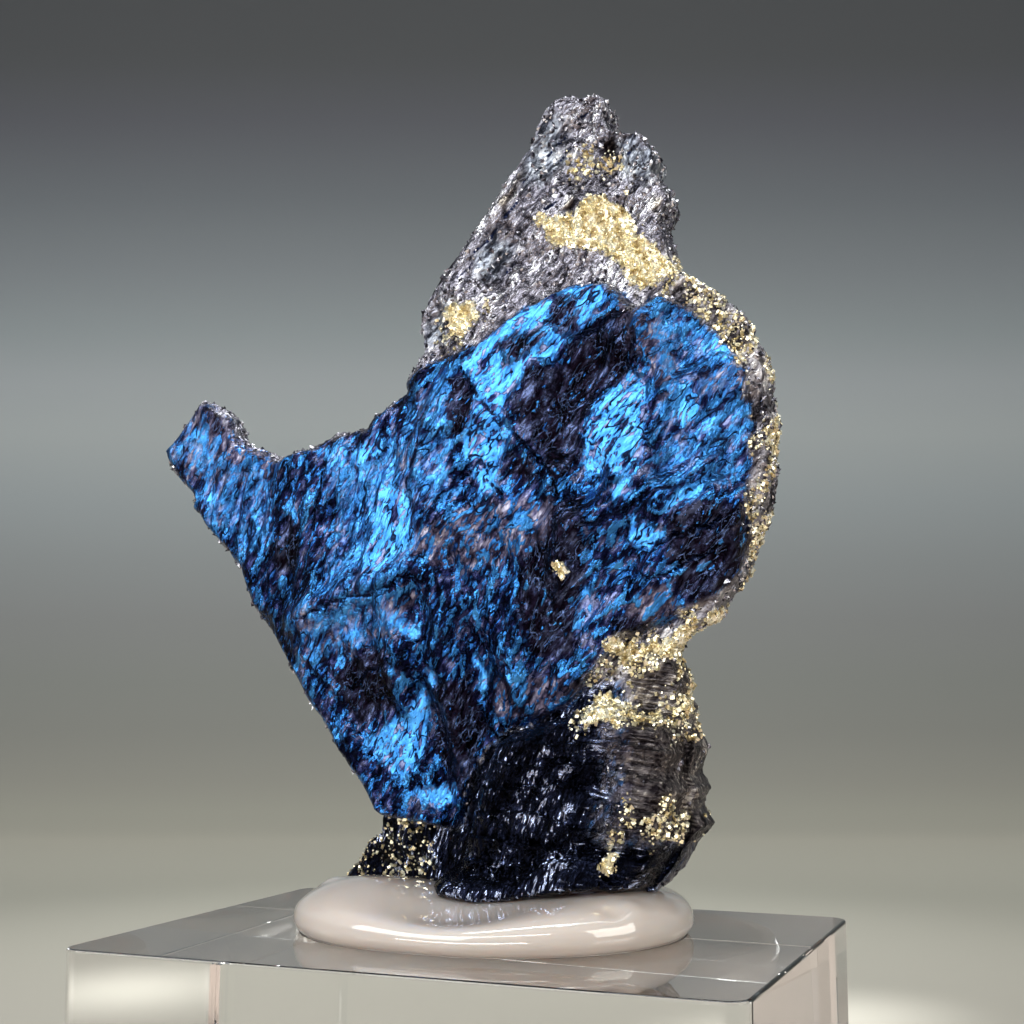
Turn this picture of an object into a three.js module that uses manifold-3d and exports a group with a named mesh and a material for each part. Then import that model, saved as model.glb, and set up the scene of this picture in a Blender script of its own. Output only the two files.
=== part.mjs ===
// A covellite specimen pressed into a pad of putty on a clear acrylic block.
// Millimetres, +Z up. X runs along the block's long side and -Y is the front.
// The origin is the centre of the block's underside.
import * as THREE from "three";
import { mergeVertices } from "three/addons/utils/BufferGeometryUtils.js";
import Module from "manifold-3d";

const wasm = await Module();
wasm.setup();

// Driving dimensions
const BLOCK = { length: 35, depth: 25, height: 12, cornerRadius: 1.1 };
const PAD = { x: 0.2, y: 1.6, halfLength: 10.8, halfDepth: 9.4, height: 2.35, foot: 0.93 };
// The plate's middle surface is at y = middle. slab and back are half thicknesses.
const PLATE = { middle: 1.6, slab: 0.9, back: 2.2 };
const EDGE = { left: { front: 0.4, back: 0.5 }, right: { front: 1.0, back: 1.9 } };
const EDGE_THICKENS = { from: -13, to: 11 }; // along x
// Widths of the rounded shoulders along the outline, in front, at the rim and at the back.
const SHOULDERS = { slab: 1.4, rim: 0.6, back: 2.2 };
const CURL = { from: -8, perSquare: 0.004 }; // the horn bends forward beyond this x
const TIP_LEANS_BACK = { by: 0.4, from: 44, to: 57 }; // along z
const LUMP_LIES_BACK = { by: 1.2, top: 18.5, foot: 14, right: -2.5, left: -5 };
const DARK_FACE = { height: 2.6, bulge: 0.9, x: 5, z: 18.5, reachX: 11, reachZ: 9 };
const LEDGE_FACE = { height: 4.1, lobe: 0.25, lobesPerMm: 0.9, taper: 0.12, taperFrom: 3 };
const BACK_SWELL = { by: 0.9, top: 34, foot: 18, left: -9, right: 0, thinnest: 0.4 };
const RIM_RELIEF = { bulge: 0.12, ripple: 0.14, alongX: 1.9, alongZ: 2.3, across: 4 };
// The putty's edge is uneven: share of its radius, how many lobes, and where they start.
const PAD_LOBES = [
  { share: 0.018, count: 3, start: 0.6 },
  { share: 0.012, count: 5, start: 2 },
];
const MESH_STEP = 0.85;
// Where the specimen's weight pressed the putty down in front, and where it welled up.
const PRESSES = [
  { x: 0.8, y: -4.2, reach: 3.4, height: -0.8 },
  { x: -5.6, y: -1.6, reach: 3.3, height: 0.5 },
  { x: 8.4, y: 0.4, reach: 2.8, height: 0.35 },
];
const PUTTY_GAP = 0.3;
const RIM_LEVELS = [-1, -0.5, 0, 0.5, 1]; // from the front, -1, to the back, 1
const SNAP_SHARE = 0.88; // how far a grid point near the outline is pulled onto it

// The outline of the whole specimen, seen from the front, as [x, z] points that run
// along the foot, up the right side, over the spire and down the left side.
const OUTLINE = [
  // the foot ledge and the underside of the dark block
  [-2.4, 14.6], [-1.6, 13.6], [0.9, 13.3], [3.0, 13.6], [6.1, 14.1], [8.0, 14.3], [9.4, 14.4],
  // the dark block's stepped right side, up to the neck
  [10.6, 15.7], [11.3, 17.0], [12.1, 17.8], [11.6, 18.8], [12.1, 19.7], [11.6, 20.7],
  [11.9, 21.8], [11.1, 23.2], [11.4, 24.0], [10.9, 24.5], [11.2, 25.1], [10.3, 26.8],
  // the round lobe with its pyrite rim
  [11.0, 27.8], [12.8, 28.7], [14.3, 31.0], [15.3, 33.4], [15.8, 35.7], [15.7, 37.2],
  [16.0, 38.6], [15.7, 41.8], [14.5, 44.3], [12.7, 46.1], [10.9, 47.2],
  // the right side of the spire
  [10.3, 49.2], [10.0, 50.2], [10.6, 51.1], [10.1, 52.3], [9.7, 53.2], [9.8, 53.8],
  [9.4, 54.5], [8.8, 55.1], [7.6, 55.4], [6.9, 56.3], [7.0, 57.2], [6.6, 57.6], [5.4, 57.8],
  [4.2, 57.9], [3.6, 57.4],
  // the straight left side of the spire
  [3.2, 56.4], [2.6, 55.2], [1.9, 54.4], [0.4, 52.3], [-0.6, 50.9], [-3.3, 47.5],
  [-4.0, 46.2], [-3.8, 44.0],
  // the shoulder and the notch
  [-5.0, 42.3], [-4.9, 41.7], [-7.0, 40.6], [-7.6, 39.8], [-9.4, 39.6], [-10.8, 39.0],
  [-13.1, 38.4], [-15.0, 39.0],
  // the horn
  [-16.1, 39.8], [-16.6, 41.0], [-17.4, 41.7], [-18.5, 42.1], [-19.2, 41.2], [-20.9, 39.2],
  [-20.3, 38.0], [-18.9, 36.4], [-19.0, 35.6], [-17.6, 34.2], [-15.7, 32.0],
  // the long thin left edge
  [-14.7, 29.8], [-12.9, 27.2], [-10.7, 23.8], [-9.2, 21.7], [-6.1, 18.0],
  // the lump of pyrite matrix at the left foot
  [-6.6, 17.0], [-9.3, 14.2], [-8.6, 13.3], [-4.6, 13.2],
];

// The blue blade, which stands proud of the slab behind it.
const BLADE = [
  [-5.6, 17.8], [-2.7, 17.4], [-1.5, 17.3], [-0.9, 18.7], [0.3, 21.6], [1.9, 22.7],
  [4.9, 23.9], [6.9, 25.9], [8.3, 27.5], [10.6, 28.4], [13.2, 29.6], [14.6, 31.6],
  [14.9, 34.4], [15.2, 38.0], [15.0, 41.4], [13.7, 43.4], [12.1, 45.0], [10.4, 45.9],
  [9.0, 45.2], [7.5, 46.8], [5.2, 47.0], [2.5, 45.8], [-0.2, 44.1], [-3.0, 43.3], [-5.0, 42.3],
  [-4.9, 41.7], [-7.0, 40.6], [-7.6, 39.8], [-9.4, 39.6], [-10.8, 39.0], [-13.1, 38.4],
  [-15.0, 39.0], [-16.1, 39.8], [-16.6, 41.0], [-17.4, 41.7], [-18.5, 42.1], [-19.2, 41.2],
  [-20.9, 39.2], [-20.3, 38.0], [-18.9, 36.4], [-19.0, 35.6], [-17.6, 34.2], [-15.7, 32.0],
  [-14.7, 29.8], [-12.9, 27.2], [-10.7, 23.8], [-9.2, 21.7], [-6.1, 18.0],
];

// The dark banded block below the blade, and the ledge along its foot.
const DARK_BLOCK = [
  [-0.9, 15.4], [0.0, 18.4], [0.6, 20.6], [1.2, 22.0], [2.4, 22.7], [5.5, 23.6], [7.1, 24.2],
  [9.4, 23.5], [10.8, 23.2], [11.4, 21.6], [11.1, 20.7], [11.6, 19.7], [11.1, 18.8], [11.6, 17.8],
  [10.9, 16.6], [9.6, 14.8], [8.0, 14.1], [3.0, 13.4], [0.0, 13.3],
];
const FOOT_LEDGE = [
  [-2.4, 14.6], [-1.6, 13.6], [0.9, 13.3], [3.0, 13.6], [6.1, 14.1], [8.0, 14.4], [8.2, 16.8],
  [6.7, 17.0], [4.2, 16.6], [3.0, 15.5], [0.8, 15.4], [-1.5, 15.3],
];

// Each layer is a stack of natural sheets: its outline, how far its face stands in front
// of the plate's middle surface, and how wide the rounded shoulder along its border is.
const LAYERS = [
  { border: BLADE, shoulder: 0.5, face: bladeFace },
  { border: DARK_BLOCK, shoulder: 1.1, face: darkBlockFace },
  { border: FOOT_LEDGE, shoulder: 0.9, face: footLedgeFace },
];

// The blade's broad facets: a point on each, its height, and its slope along x and z.
const FACETS = [
  { x: 2.5, z: 45.4, height: 1.7, slope: [0.05, -0.26] }, // bright strip under the spire
  { x: 0.2, z: 40.8, height: 2.3, slope: [0.06, -0.2] },
  { x: 4.9, z: 42.3, height: 1.8, slope: [-0.24, 0.16] }, // dark hollow beside the fold
  { x: 4.0, z: 37.0, height: 1.9, slope: [-0.18, 0.1] },
  { x: 8.2, z: 39.6, height: 2.1, slope: [0.02, -0.22] }, // bright facet on the right
  { x: 9.6, z: 43.8, height: 1.7, slope: [-0.2, -0.05] },
  { x: 13.6, z: 42.8, height: 1.3, slope: [0.02, -0.26] },
  { x: 12.4, z: 38.6, height: 1.9, slope: [-0.12, 0.05] },
  { x: 12.2, z: 31.8, height: 1.9, slope: [-0.1, 0.22] }, // black lower right facet
  { x: 7.0, z: 32.2, height: 2.2, slope: [-0.02, 0.1] },
  { x: 1.0, z: 31.0, height: 2.3, slope: [-0.05, 0.1] },
  { x: 3.6, z: 26.4, height: 2.0, slope: [-0.05, 0.12] },
  { x: -2.2, z: 25.6, height: 1.9, slope: [-0.22, 0.04] },
  { x: -6.8, z: 35.6, height: 1.7, slope: [0.1, -0.16] }, // floor of the shallow left bowl
  { x: -8.0, z: 39.0, height: 1.4, slope: [0.1, -0.22] },
  { x: -12.4, z: 35.6, height: 1.5, slope: [0.1, -0.02] },
  { x: -12.8, z: 31.4, height: 1.5, slope: [0.14, 0.08] },
  { x: -9.0, z: 27.2, height: 1.9, slope: [0.08, 0.2] },
  { x: -5.8, z: 21.2, height: 1.5, slope: [0.06, -0.2] }, // bright facet near the foot
  { x: -17.6, z: 38.6, height: 1.2, slope: [0.08, 0.0] }, // the horn
];
const FACET_SHARPNESS = 1.7; // per millimetre

// Ridges and valleys that cross the blade: two ends, height and half width.
const CREASES = [
  { from: [-1.6, 43.4], to: [4.6, 36.6], height: 0.55, halfWidth: 0.8 },
  { from: [4.6, 36.6], to: [5.2, 31.0], height: 0.5, halfWidth: 0.9 },
  { from: [-11.6, 28.9], to: [-3.6, 31.4], height: 0.55, halfWidth: 0.9 },
  { from: [9.2, 44.8], to: [11.0, 40.6], height: 0.5, halfWidth: 0.7 },
  { from: [6.6, 33.4], to: [12.8, 36.2], height: 0.45, halfWidth: 0.8 },
  { from: [-2.6, 31.0], to: [-1.0, 22.6], height: 0.5, halfWidth: 0.9 },
  { from: [-3.4, 24.6], to: [-1.6, 17.6], height: -0.9, halfWidth: 1.0 },
];

const clamp01 = (t) => Math.min(1, Math.max(0, t));
const smooth = (low, high, v) => {
  const t = clamp01((v - low) / (high - low));
  return t * t * (3 - 2 * t);
};
// A quarter circle from 0 at the border to 1 at the end of the shoulder.
const shoulder = (inside, width) => Math.sqrt(1 - (1 - clamp01(inside / width)) ** 2);

// The nearest point to (x, z) on a segment, and its distance.
function nearestOnSegment(x, z, [ax, az], [bx, bz]) {
  const length2 = (bx - ax) ** 2 + (bz - az) ** 2;
  const t = clamp01(((x - ax) * (bx - ax) + (z - az) * (bz - az)) / length2);
  const point = [ax + t * (bx - ax), az + t * (bz - az)];
  return { point, distance: Math.hypot(x - point[0], z - point[1]) };
}

// The nearest point on a closed outline and the signed distance, negative inside.
function toOutline(x, z, outline) {
  let best = { distance: Infinity };
  let inside = false;
  outline.forEach((a, i) => {
    const b = outline[(i + 1) % outline.length];
    const near = nearestOnSegment(x, z, a, b);
    if (near.distance < best.distance) best = near;
    const crosses = a[1] > z !== b[1] > z;
    if (crosses && x < a[0] + ((z - a[1]) / (b[1] - a[1])) * (b[0] - a[0])) inside = !inside;
  });
  return { point: best.point, signed: inside ? -best.distance : best.distance };
}

// A repeatable number from 0 to 1 for a whole-numbered cell.
function cellNumber(i, j, seed) {
  const s = Math.sin(i * 127.1 + j * 311.7 + seed * 74.7) * 43758.5453;
  return s - Math.floor(s);
}

// Crumpled facets: random heights on a lattice of triangles, stretched along an angle, so
// that the surface is made of flat faces that meet in sharp creases.
function crumple(x, z, { size, stretch, angle, height, seed }) {
  const c = Math.cos(angle);
  const s = Math.sin(angle);
  const u = (x * c + z * s) / (size * stretch);
  const v = (-x * s + z * c) / size;
  const [i, j] = [Math.floor(u), Math.floor(v)];
  const [fu, fv] = [u - i, v - j];
  const corner = (di, dj) => 2 * cellNumber(i + di, j + dj, seed) - 1;
  const level =
    fu > fv
      ? (1 - fu) * corner(0, 0) + (fu - fv) * corner(1, 0) + fv * corner(1, 1)
      : (1 - fv) * corner(0, 0) + (fv - fu) * corner(0, 1) + fu * corner(1, 1);
  return height * level;
}

const WRINKLES = { size: 2.1, stretch: 1.9, angle: 1.0, height: 0.35, seed: 3 };
const CRUMBS = { size: 1.9, stretch: 1.1, angle: 0.4, height: 0.35, seed: 11 };
const BANDS = { size: 1.9, stretch: 1.7, angle: 0.12, height: 0.5, seed: 17 };
const BROKEN_BACK = { size: 2.6, stretch: 1.2, angle: 0.9, height: 0.5, seed: 29 };

// The blade's face: broad facets blended at their borders, creases, and crumpled wrinkles.
function bladeFace(x, z) {
  let sum = 0;
  let weights = 0;
  for (const { x: fx, z: fz, height, slope } of FACETS) {
    const dx = x - fx;
    const dz = z - fz;
    const weight = Math.exp(-FACET_SHARPNESS * Math.hypot(dx, dz));
    sum += weight * (height + slope[0] * dx + slope[1] * dz);
    weights += weight;
  }
  let face = sum / weights;
  for (const { from, to, height, halfWidth } of CREASES) {
    const { distance } = nearestOnSegment(x, z, from, to);
    face += height * Math.exp(-((distance / halfWidth) ** 2));
  }
  return face + crumple(x, z, WRINKLES);
}

// The dark block bulges forward and is banded along its length.
function darkBlockFace(x, z) {
  const { height, bulge, x: middleX, z: middleZ, reachX, reachZ } = DARK_FACE;
  const share = 1 - ((x - middleX) / reachX) ** 2 - ((z - middleZ) / reachZ) ** 2;
  return height + bulge * share + crumple(x, z, BANDS);
}

// The ledge is the part that comes furthest forward.
function footLedgeFace(x, z) {
  const { height, lobe, lobesPerMm, taper, taperFrom } = LEDGE_FACE;
  const lobes = lobe * Math.cos(x * lobesPerMm) - taper * Math.max(0, x - taperFrom);
  return height + lobes + 0.5 * crumple(x, z, BANDS);
}

// How far the broken edge stands before and behind the middle surface: it is thin on the
// left and a thick rim on the right.
const edgeHalf = (x, side) =>
  EDGE.left[side] +
  (EDGE.right[side] - EDGE.left[side]) * smooth(EDGE_THICKENS.from, EDGE_THICKENS.to, x);

// The plate's middle surface: it curls forward towards the horn, and the matrix lump
// and the tip of the spire lie further back.
function middleSurface(x, z) {
  const curl = CURL.perSquare * Math.min(0, x - CURL.from) ** 2;
  const tip = TIP_LEANS_BACK.by * smooth(TIP_LEANS_BACK.from, TIP_LEANS_BACK.to, z);
  const { by, top, foot, right, left } = LUMP_LIES_BACK;
  return PLATE.middle - curl + tip + by * smooth(top, foot, z) * smooth(right, left, x);
}

// How far the front face stands before the middle surface, at a depth inside the outline.
function frontHeight(x, z, inside) {
  const edge = edgeHalf(x, "front");
  const slabFace = PLATE.slab + crumple(x, z, CRUMBS);
  const slab = edge + (slabFace - edge) * shoulder(inside, SHOULDERS.slab);
  let height = slab;
  for (const { border, shoulder: width, face } of LAYERS) {
    const within = -toOutline(x, z, border).signed;
    if (within <= 0) continue;
    height = Math.max(height, slab + (face(x, z) - slab) * shoulder(within, width));
  }
  return edge + (height - edge) * shoulder(inside, SHOULDERS.rim);
}

// How far the broken edge bulges out between the front and the back.
function rimRelief(x, z, level) {
  const { bulge, ripple, alongX, alongZ, across } = RIM_RELIEF;
  const wave = ripple * Math.sin(alongX * x + alongZ * z + across * level);
  return edgeHalf(x, "front") * (bulge * (1 - level * level) + wave);
}

// The back is a rough broken face, thicker towards the foot.
function backHeight(x, z, inside) {
  const edge = edgeHalf(x, "back");
  const { by, top, foot, left, right, thinnest } = BACK_SWELL;
  const swell = PLATE.back + by * smooth(top, foot, z) * smooth(left, right, x);
  const face = Math.max(swell + crumple(x, z, BROKEN_BACK), thinnest);
  return edge + (face - edge) * shoulder(inside, SHOULDERS.back);
}

// The specimen as one closed surface: a front sheet and a back sheet on the same grid,
// joined by a broken rim. grow offsets it outwards, for the hollow that it leaves.
function specimenGeometry(grow = 0) {
  const xs = OUTLINE.map((p) => p[0]);
  const zs = OUTLINE.map((p) => p[1]);
  const left = Math.min(...xs) - 2 * MESH_STEP;
  const low = Math.min(...zs) - 2 * MESH_STEP;
  const columns = Math.ceil((Math.max(...xs) - left) / MESH_STEP) + 3;
  const rows = Math.ceil((Math.max(...zs) - low) / MESH_STEP) + 3;

  // Grid points near the outline are pulled onto it; side is -1 inside, 0 on it, 1 outside.
  const points = [];
  for (let j = 0; j < rows; j++) {
    for (let i = 0; i < columns; i++) {
      let x = left + i * MESH_STEP;
      let z = low + j * MESH_STEP;
      const { point, signed } = toOutline(x, z, OUTLINE);
      const offset = signed - grow;
      const near = Math.abs(offset) < MESH_STEP / 2;
      if (near && Math.abs(signed) > 1e-6) {
        x -= (SNAP_SHARE * offset * (x - point[0])) / signed;
        z -= (SNAP_SHARE * offset * (z - point[1])) / signed;
      }
      points.push({ x, z, offset, side: near ? 0 : Math.sign(offset) });
    }
  }

  // Cells of the grid that lie inside, as triangles that run anticlockwise from the front.
  const sheet = [];
  const keep = (corners) => {
    const inside = corners.some((k) => points[k].side < 0);
    const middle = corners.reduce((sum, k) => sum + points[k].offset, 0);
    if (inside || middle < 0) sheet.push(corners);
  };
  for (let j = 0; j + 1 < rows; j++) {
    for (let i = 0; i + 1 < columns; i++) {
      const a = j * columns + i;
      const cell = [a, a + 1, a + columns + 1, a + columns];
      const used = cell.filter((k) => points[k].side <= 0);
      if (used.length === 4) {
        const [p, q, r, s] = cell;
        keep((i + j) % 2 ? [p, q, r] : [p, q, s]);
        keep((i + j) % 2 ? [p, r, s] : [q, r, s]);
      } else if (used.length === 3) keep(used);
    }
  }

  // The sheet's border edges are those that no neighbouring triangle runs along backwards.
  const key = (a, b) => a * points.length + b;
  const edges = new Map();
  for (const [a, b, c] of sheet) {
    for (const [p, q] of [[a, b], [b, c], [c, a]]) edges.set(key(p, q), [p, q]);
  }
  const border = [...edges.values()].filter(([p, q]) => !edges.has(key(q, p)));
  const onBorder = new Set(border.flat());

  // One layer of points for the front sheet, several for the rim and one for the back.
  const positions = [];
  const count = points.length;
  for (const level of RIM_LEVELS) {
    points.forEach(({ x, z }, k) => {
      const { point, signed } = toOutline(x, z, OUTLINE);
      const inside = onBorder.has(k) ? 0 : Math.max(0, -signed);
      const front = frontHeight(x, z, inside) + grow;
      const back = backHeight(x, z, inside) + grow;
      const inner = Math.abs(level) < 1;
      const out = inner && Math.abs(signed) > 1e-6 ? rimRelief(x, z, level) / signed : 0;
      positions.push(
        x + out * (x - point[0]),
        middleSurface(x, z) + (level < 0 ? level * front : level * back),
        z + out * (z - point[1]),
      );
    });
  }
  const index = [];
  const last = (RIM_LEVELS.length - 1) * count;
  for (const [a, b, c] of sheet) {
    index.push(a, b, c);
    index.push(last + c, last + b, last + a);
  }
  for (const [a, b] of border) {
    for (let near = 0; near < last; near += count) {
      const far = near + count;
      index.push(near + b, near + a, far + a);
      index.push(near + b, far + a, far + b);
    }
  }
  const geometry = new THREE.BufferGeometry();
  geometry.setAttribute("position", new THREE.Float32BufferAttribute(positions, 3));
  geometry.setIndex(index);
  return geometry;
}

// How far the putty's top is pressed down or squeezed up at a point.
const pressed = (x, y) =>
  PRESSES.reduce((sum, p) => {
    const away = Math.hypot(x - p.x, y - p.y) / p.reach;
    return sum + p.height * Math.exp(-away * away);
  }, 0);

// The pad of putty: rings from the foot up the bulging side and over the domed top.
function padGeometry() {
  const around = 72;
  const profile = [
    // [share of the radius, share of the height]
    [PAD.foot, 0], [0.975, 0.14], [1, 0.34], [0.985, 0.58], [0.93, 0.8], [0.83, 0.94], [0.68, 1],
    [0.55, 1], [0.42, 1], [0.28, 0.98], [0.14, 0.97],
  ];
  const positions = [];
  for (const [radius, height] of profile) {
    for (let k = 0; k < around; k++) {
      const angle = (2 * Math.PI * k) / around;
      const wobble = PAD_LOBES.reduce(
        (sum, { share, count, start }) => sum + share * Math.sin(count * angle + start),
        1,
      );
      const x = PAD.x + PAD.halfLength * radius * wobble * Math.cos(angle);
      const y = PAD.y + PAD.halfDepth * radius * wobble * Math.sin(angle);
      positions.push(x, y, BLOCK.height + height * (PAD.height + height * pressed(x, y)));
    }
  }
  const bottomCentre = positions.length / 3;
  positions.push(PAD.x, PAD.y, BLOCK.height);
  positions.push(PAD.x, PAD.y, BLOCK.height + 0.96 * PAD.height);
  const topCentre = bottomCentre + 1;
  const index = [];
  for (let k = 0; k < around; k++) {
    const next = (k + 1) % around;
    for (let ring = 0; ring + 1 < profile.length; ring++) {
      const a = ring * around;
      const b = a + around;
      index.push(a + k, a + next, b + next, a + k, b + next, b + k);
    }
    const last = (profile.length - 1) * around;
    index.push(bottomCentre, next, k, topCentre, last + k, last + next);
  }
  const geometry = new THREE.BufferGeometry();
  geometry.setAttribute("position", new THREE.Float32BufferAttribute(positions, 3));
  geometry.setIndex(index);
  return geometry;
}

// The block: a rectangle with rounded upright corners.
function blockGeometry() {
  const { length, depth, height, cornerRadius: r } = BLOCK;
  const [x, y] = [length / 2 - r, depth / 2 - r];
  const shape = new THREE.Shape();
  shape.absarc(x, -y, r, -Math.PI / 2, 0);
  shape.absarc(x, y, r, 0, Math.PI / 2);
  shape.absarc(-x, y, r, Math.PI / 2, Math.PI);
  shape.absarc(-x, -y, r, Math.PI, 1.5 * Math.PI);
  return new THREE.ExtrudeGeometry(shape, { depth: height, bevelEnabled: false, curveSegments: 5 });
}

function toSolid(geometry) {
  const plain = geometry.clone();
  plain.deleteAttribute("normal");
  plain.deleteAttribute("uv");
  const merged = mergeVertices(plain, 1e-4);
  return new wasm.Manifold(
    new wasm.Mesh({
      numProp: 3,
      vertProperties: merged.attributes.position.array,
      triVerts: new Uint32Array(merged.index.array),
    }),
  );
}

function toGeometry(solid) {
  const { vertProperties, triVerts } = solid.getMesh();
  const geometry = new THREE.BufferGeometry();
  geometry.setAttribute("position", new THREE.BufferAttribute(vertProperties, 3));
  geometry.setIndex(new THREE.BufferAttribute(triVerts, 1));
  geometry.computeVertexNormals();
  return geometry;
}

function namedMesh(name, geometry, color, roughness, metalness) {
  const material = new THREE.MeshStandardMaterial({ color, roughness, metalness });
  const mesh = new THREE.Mesh(geometry, material);
  mesh.name = name;
  return mesh;
}

const specimen = toSolid(specimenGeometry());
const pad = toSolid(padGeometry()).subtract(toSolid(specimenGeometry(PUTTY_GAP)));

const part = new THREE.Group();
part.add(namedMesh("covellite_specimen", toGeometry(specimen), 0x1b4f9c, 0.35, 0.9));
part.add(namedMesh("putty_pad", toGeometry(pad), 0xd8cfc8, 0.25, 0));
part.add(namedMesh("acrylic_block", blockGeometry(), 0xe8ecee, 0.05, 0));

export default part;
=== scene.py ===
# %% [markdown]
# # A covellite specimen on a clear block
# Covellite is a copper sulphide that grows in thin plates with a deep blue metallic face. This
# specimen is one crumpled plate with a grey spire behind it, a rim of pyrite and a dark banded
# foot, pressed into putty on a block of clear acrylic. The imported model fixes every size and
# place. What follows gives each piece its real surface, worked out in millimetres.

import math

import bpy
import numpy as np
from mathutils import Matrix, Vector


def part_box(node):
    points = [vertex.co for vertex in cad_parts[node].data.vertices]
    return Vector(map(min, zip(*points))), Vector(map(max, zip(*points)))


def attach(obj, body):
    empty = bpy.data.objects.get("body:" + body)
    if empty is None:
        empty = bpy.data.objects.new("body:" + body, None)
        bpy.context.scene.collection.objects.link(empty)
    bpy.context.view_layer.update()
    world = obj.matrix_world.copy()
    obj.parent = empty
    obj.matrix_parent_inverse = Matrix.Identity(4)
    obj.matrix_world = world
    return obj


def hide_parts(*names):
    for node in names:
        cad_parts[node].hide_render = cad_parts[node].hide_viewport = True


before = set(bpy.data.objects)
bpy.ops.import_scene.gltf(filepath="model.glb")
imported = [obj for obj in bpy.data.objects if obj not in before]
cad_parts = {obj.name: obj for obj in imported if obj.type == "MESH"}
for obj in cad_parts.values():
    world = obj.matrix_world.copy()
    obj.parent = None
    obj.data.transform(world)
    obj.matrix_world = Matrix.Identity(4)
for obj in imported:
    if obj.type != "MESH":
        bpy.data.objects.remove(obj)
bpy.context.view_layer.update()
MM = 0.001  # one millimetre in Blender's metres
print("nodes in the packed model:", sorted(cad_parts))

# %% [markdown]
# ## The camera
# A small specimen is photographed from close by, so perspective is strong: the camera stands
# 85 mm away, turned 22 degrees to the block's side, and looks slightly upwards.

# %% Camera
HEADING = math.radians(22.0)
PITCH = math.radians(6.52)
camera_data = bpy.data.cameras.new("camera")
camera_data.lens = 53.1
camera_data.clip_start = 1 * MM
camera = bpy.data.objects.new("camera", camera_data)
camera.location = Vector((32.6, -75.8, 25.1)) * MM
level_look = Vector((-math.sin(HEADING), math.cos(HEADING), 0))
look = level_look * math.cos(PITCH) + Vector((0, 0, math.sin(PITCH)))
camera.rotation_euler = look.to_track_quat("-Z", "Y").to_euler()
bpy.context.scene.collection.objects.link(camera)
bpy.context.scene.camera = camera
print("camera stands", round(camera.location.length / MM), "mm from the block's centre")


# %% [markdown]
# ## Small helpers
# Every new piece is a mesh made from numpy arrays in one call, and every material is built from
# nodes. A few short helpers keep the steps below readable.

# %% Mesh and node helpers
def make_mesh(name, points_mm, faces, material, smooth=False):
    """A mesh object from points in millimetres and faces that point outwards."""
    mesh = bpy.data.meshes.new(name)
    mesh.from_pydata((np.asarray(points_mm) * MM).tolist(), [], np.asarray(faces).tolist())
    mesh.materials.append(material)
    mesh.polygons.foreach_set("use_smooth", np.full(len(mesh.polygons), smooth))
    mesh.update()
    obj = bpy.data.objects.new(name, mesh)
    bpy.context.scene.collection.objects.link(obj)
    print(name, "has", len(mesh.polygons), "faces")
    return obj


def node(tree, kind, inputs=None, **settings):
    """One shader node with its settings and inputs; an input that is a socket is linked."""
    made = tree.nodes.new(kind)
    for key, value in settings.items():
        setattr(made, key, value)
    for key, value in (inputs or {}).items():
        if isinstance(value, bpy.types.NodeSocket):
            tree.links.new(value, made.inputs[key])
        else:
            made.inputs[key].default_value = value
    return made


def new_material(name):
    """A material with an empty node tree, its Principled shader and its output."""
    material = bpy.data.materials.new(name)
    material.use_nodes = True
    tree = material.node_tree
    tree.nodes.clear()
    shader = node(tree, "ShaderNodeBsdfPrincipled")
    node(tree, "ShaderNodeOutputMaterial", {"Surface": shader.outputs["BSDF"]})
    return material, tree, shader


def mix_colour(tree, factor, first, second):
    """Blends two colours; first and second may be sockets or plain colours."""
    made = node(tree, "ShaderNodeMix", {0: factor, 6: first, 7: second}, data_type="RGBA")
    return made.outputs[2]


def mix_number(tree, factor, first, second):
    """Blends two numbers."""
    made = node(tree, "ShaderNodeMix", {0: factor, 2: first, 3: second}, data_type="FLOAT")
    return made.outputs[0]


def ramp(tree, factor, stops):
    """A colour ramp with straight stretches between [place, colour] stops."""
    made = node(tree, "ShaderNodeValToRGB", {"Fac": factor})
    elements = made.color_ramp.elements
    while len(elements) < len(stops):
        elements.new(0.5)
    for element, (place, colour) in zip(elements, stops):
        element.position = place
        element.color = (*colour, 1)
    return made.outputs["Color"]


# %% [markdown]
# ## The studio
# The background is a sheet that runs flat under the block and curves up into a wall behind it, as
# a photographer's paper sweep does. Its tone is a warm grey in front and darker behind the block,
# with two soft bands of light painted into it further up before it falls to dark grey at the top.

# %% Sweep of paper
SWEEP = {"front": -320.0, "wall": 330.0, "bend": 150.0, "top": 420.0, "half_width": 420.0}
SWEEP_BELOW = 0.02  # the paper lies this far under the block, so that the faces never touch
WALL_TONES_AND_PAINTED_LIGHT = [
    # [share of the way from the floor's front edge to the wall's top, tone with the painted light]
    (0.0, (0.60, 0.48, 0.40)), (0.31, (0.58, 0.47, 0.40)), (0.34, (0.365, 0.35, 0.305)),
    (0.42, (0.405, 0.40, 0.34)), (0.45, (0.49, 0.48, 0.405)),
    (0.485, (0.57, 0.55, 0.46)), (0.521, (0.51, 0.50, 0.42)), (0.54, (0.45, 0.44, 0.38)),
    (0.565, (0.39, 0.39, 0.35)), (0.587, (0.38, 0.39, 0.36)), (0.61, (0.40, 0.41, 0.40)),
    (0.631, (0.45, 0.48, 0.48)), (0.651, (0.53, 0.58, 0.59)), (0.673, (0.64, 0.69, 0.69)),
    (0.689, (0.61, 0.66, 0.68)), (0.704, (0.50, 0.56, 0.58)), (0.722, (0.40, 0.44, 0.47)),
    (0.742, (0.30, 0.33, 0.36)), (0.765, (0.22, 0.23, 0.26)), (0.783, (0.18, 0.19, 0.20)),
    (1.0, (0.10, 0.11, 0.12)),
]


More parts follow.
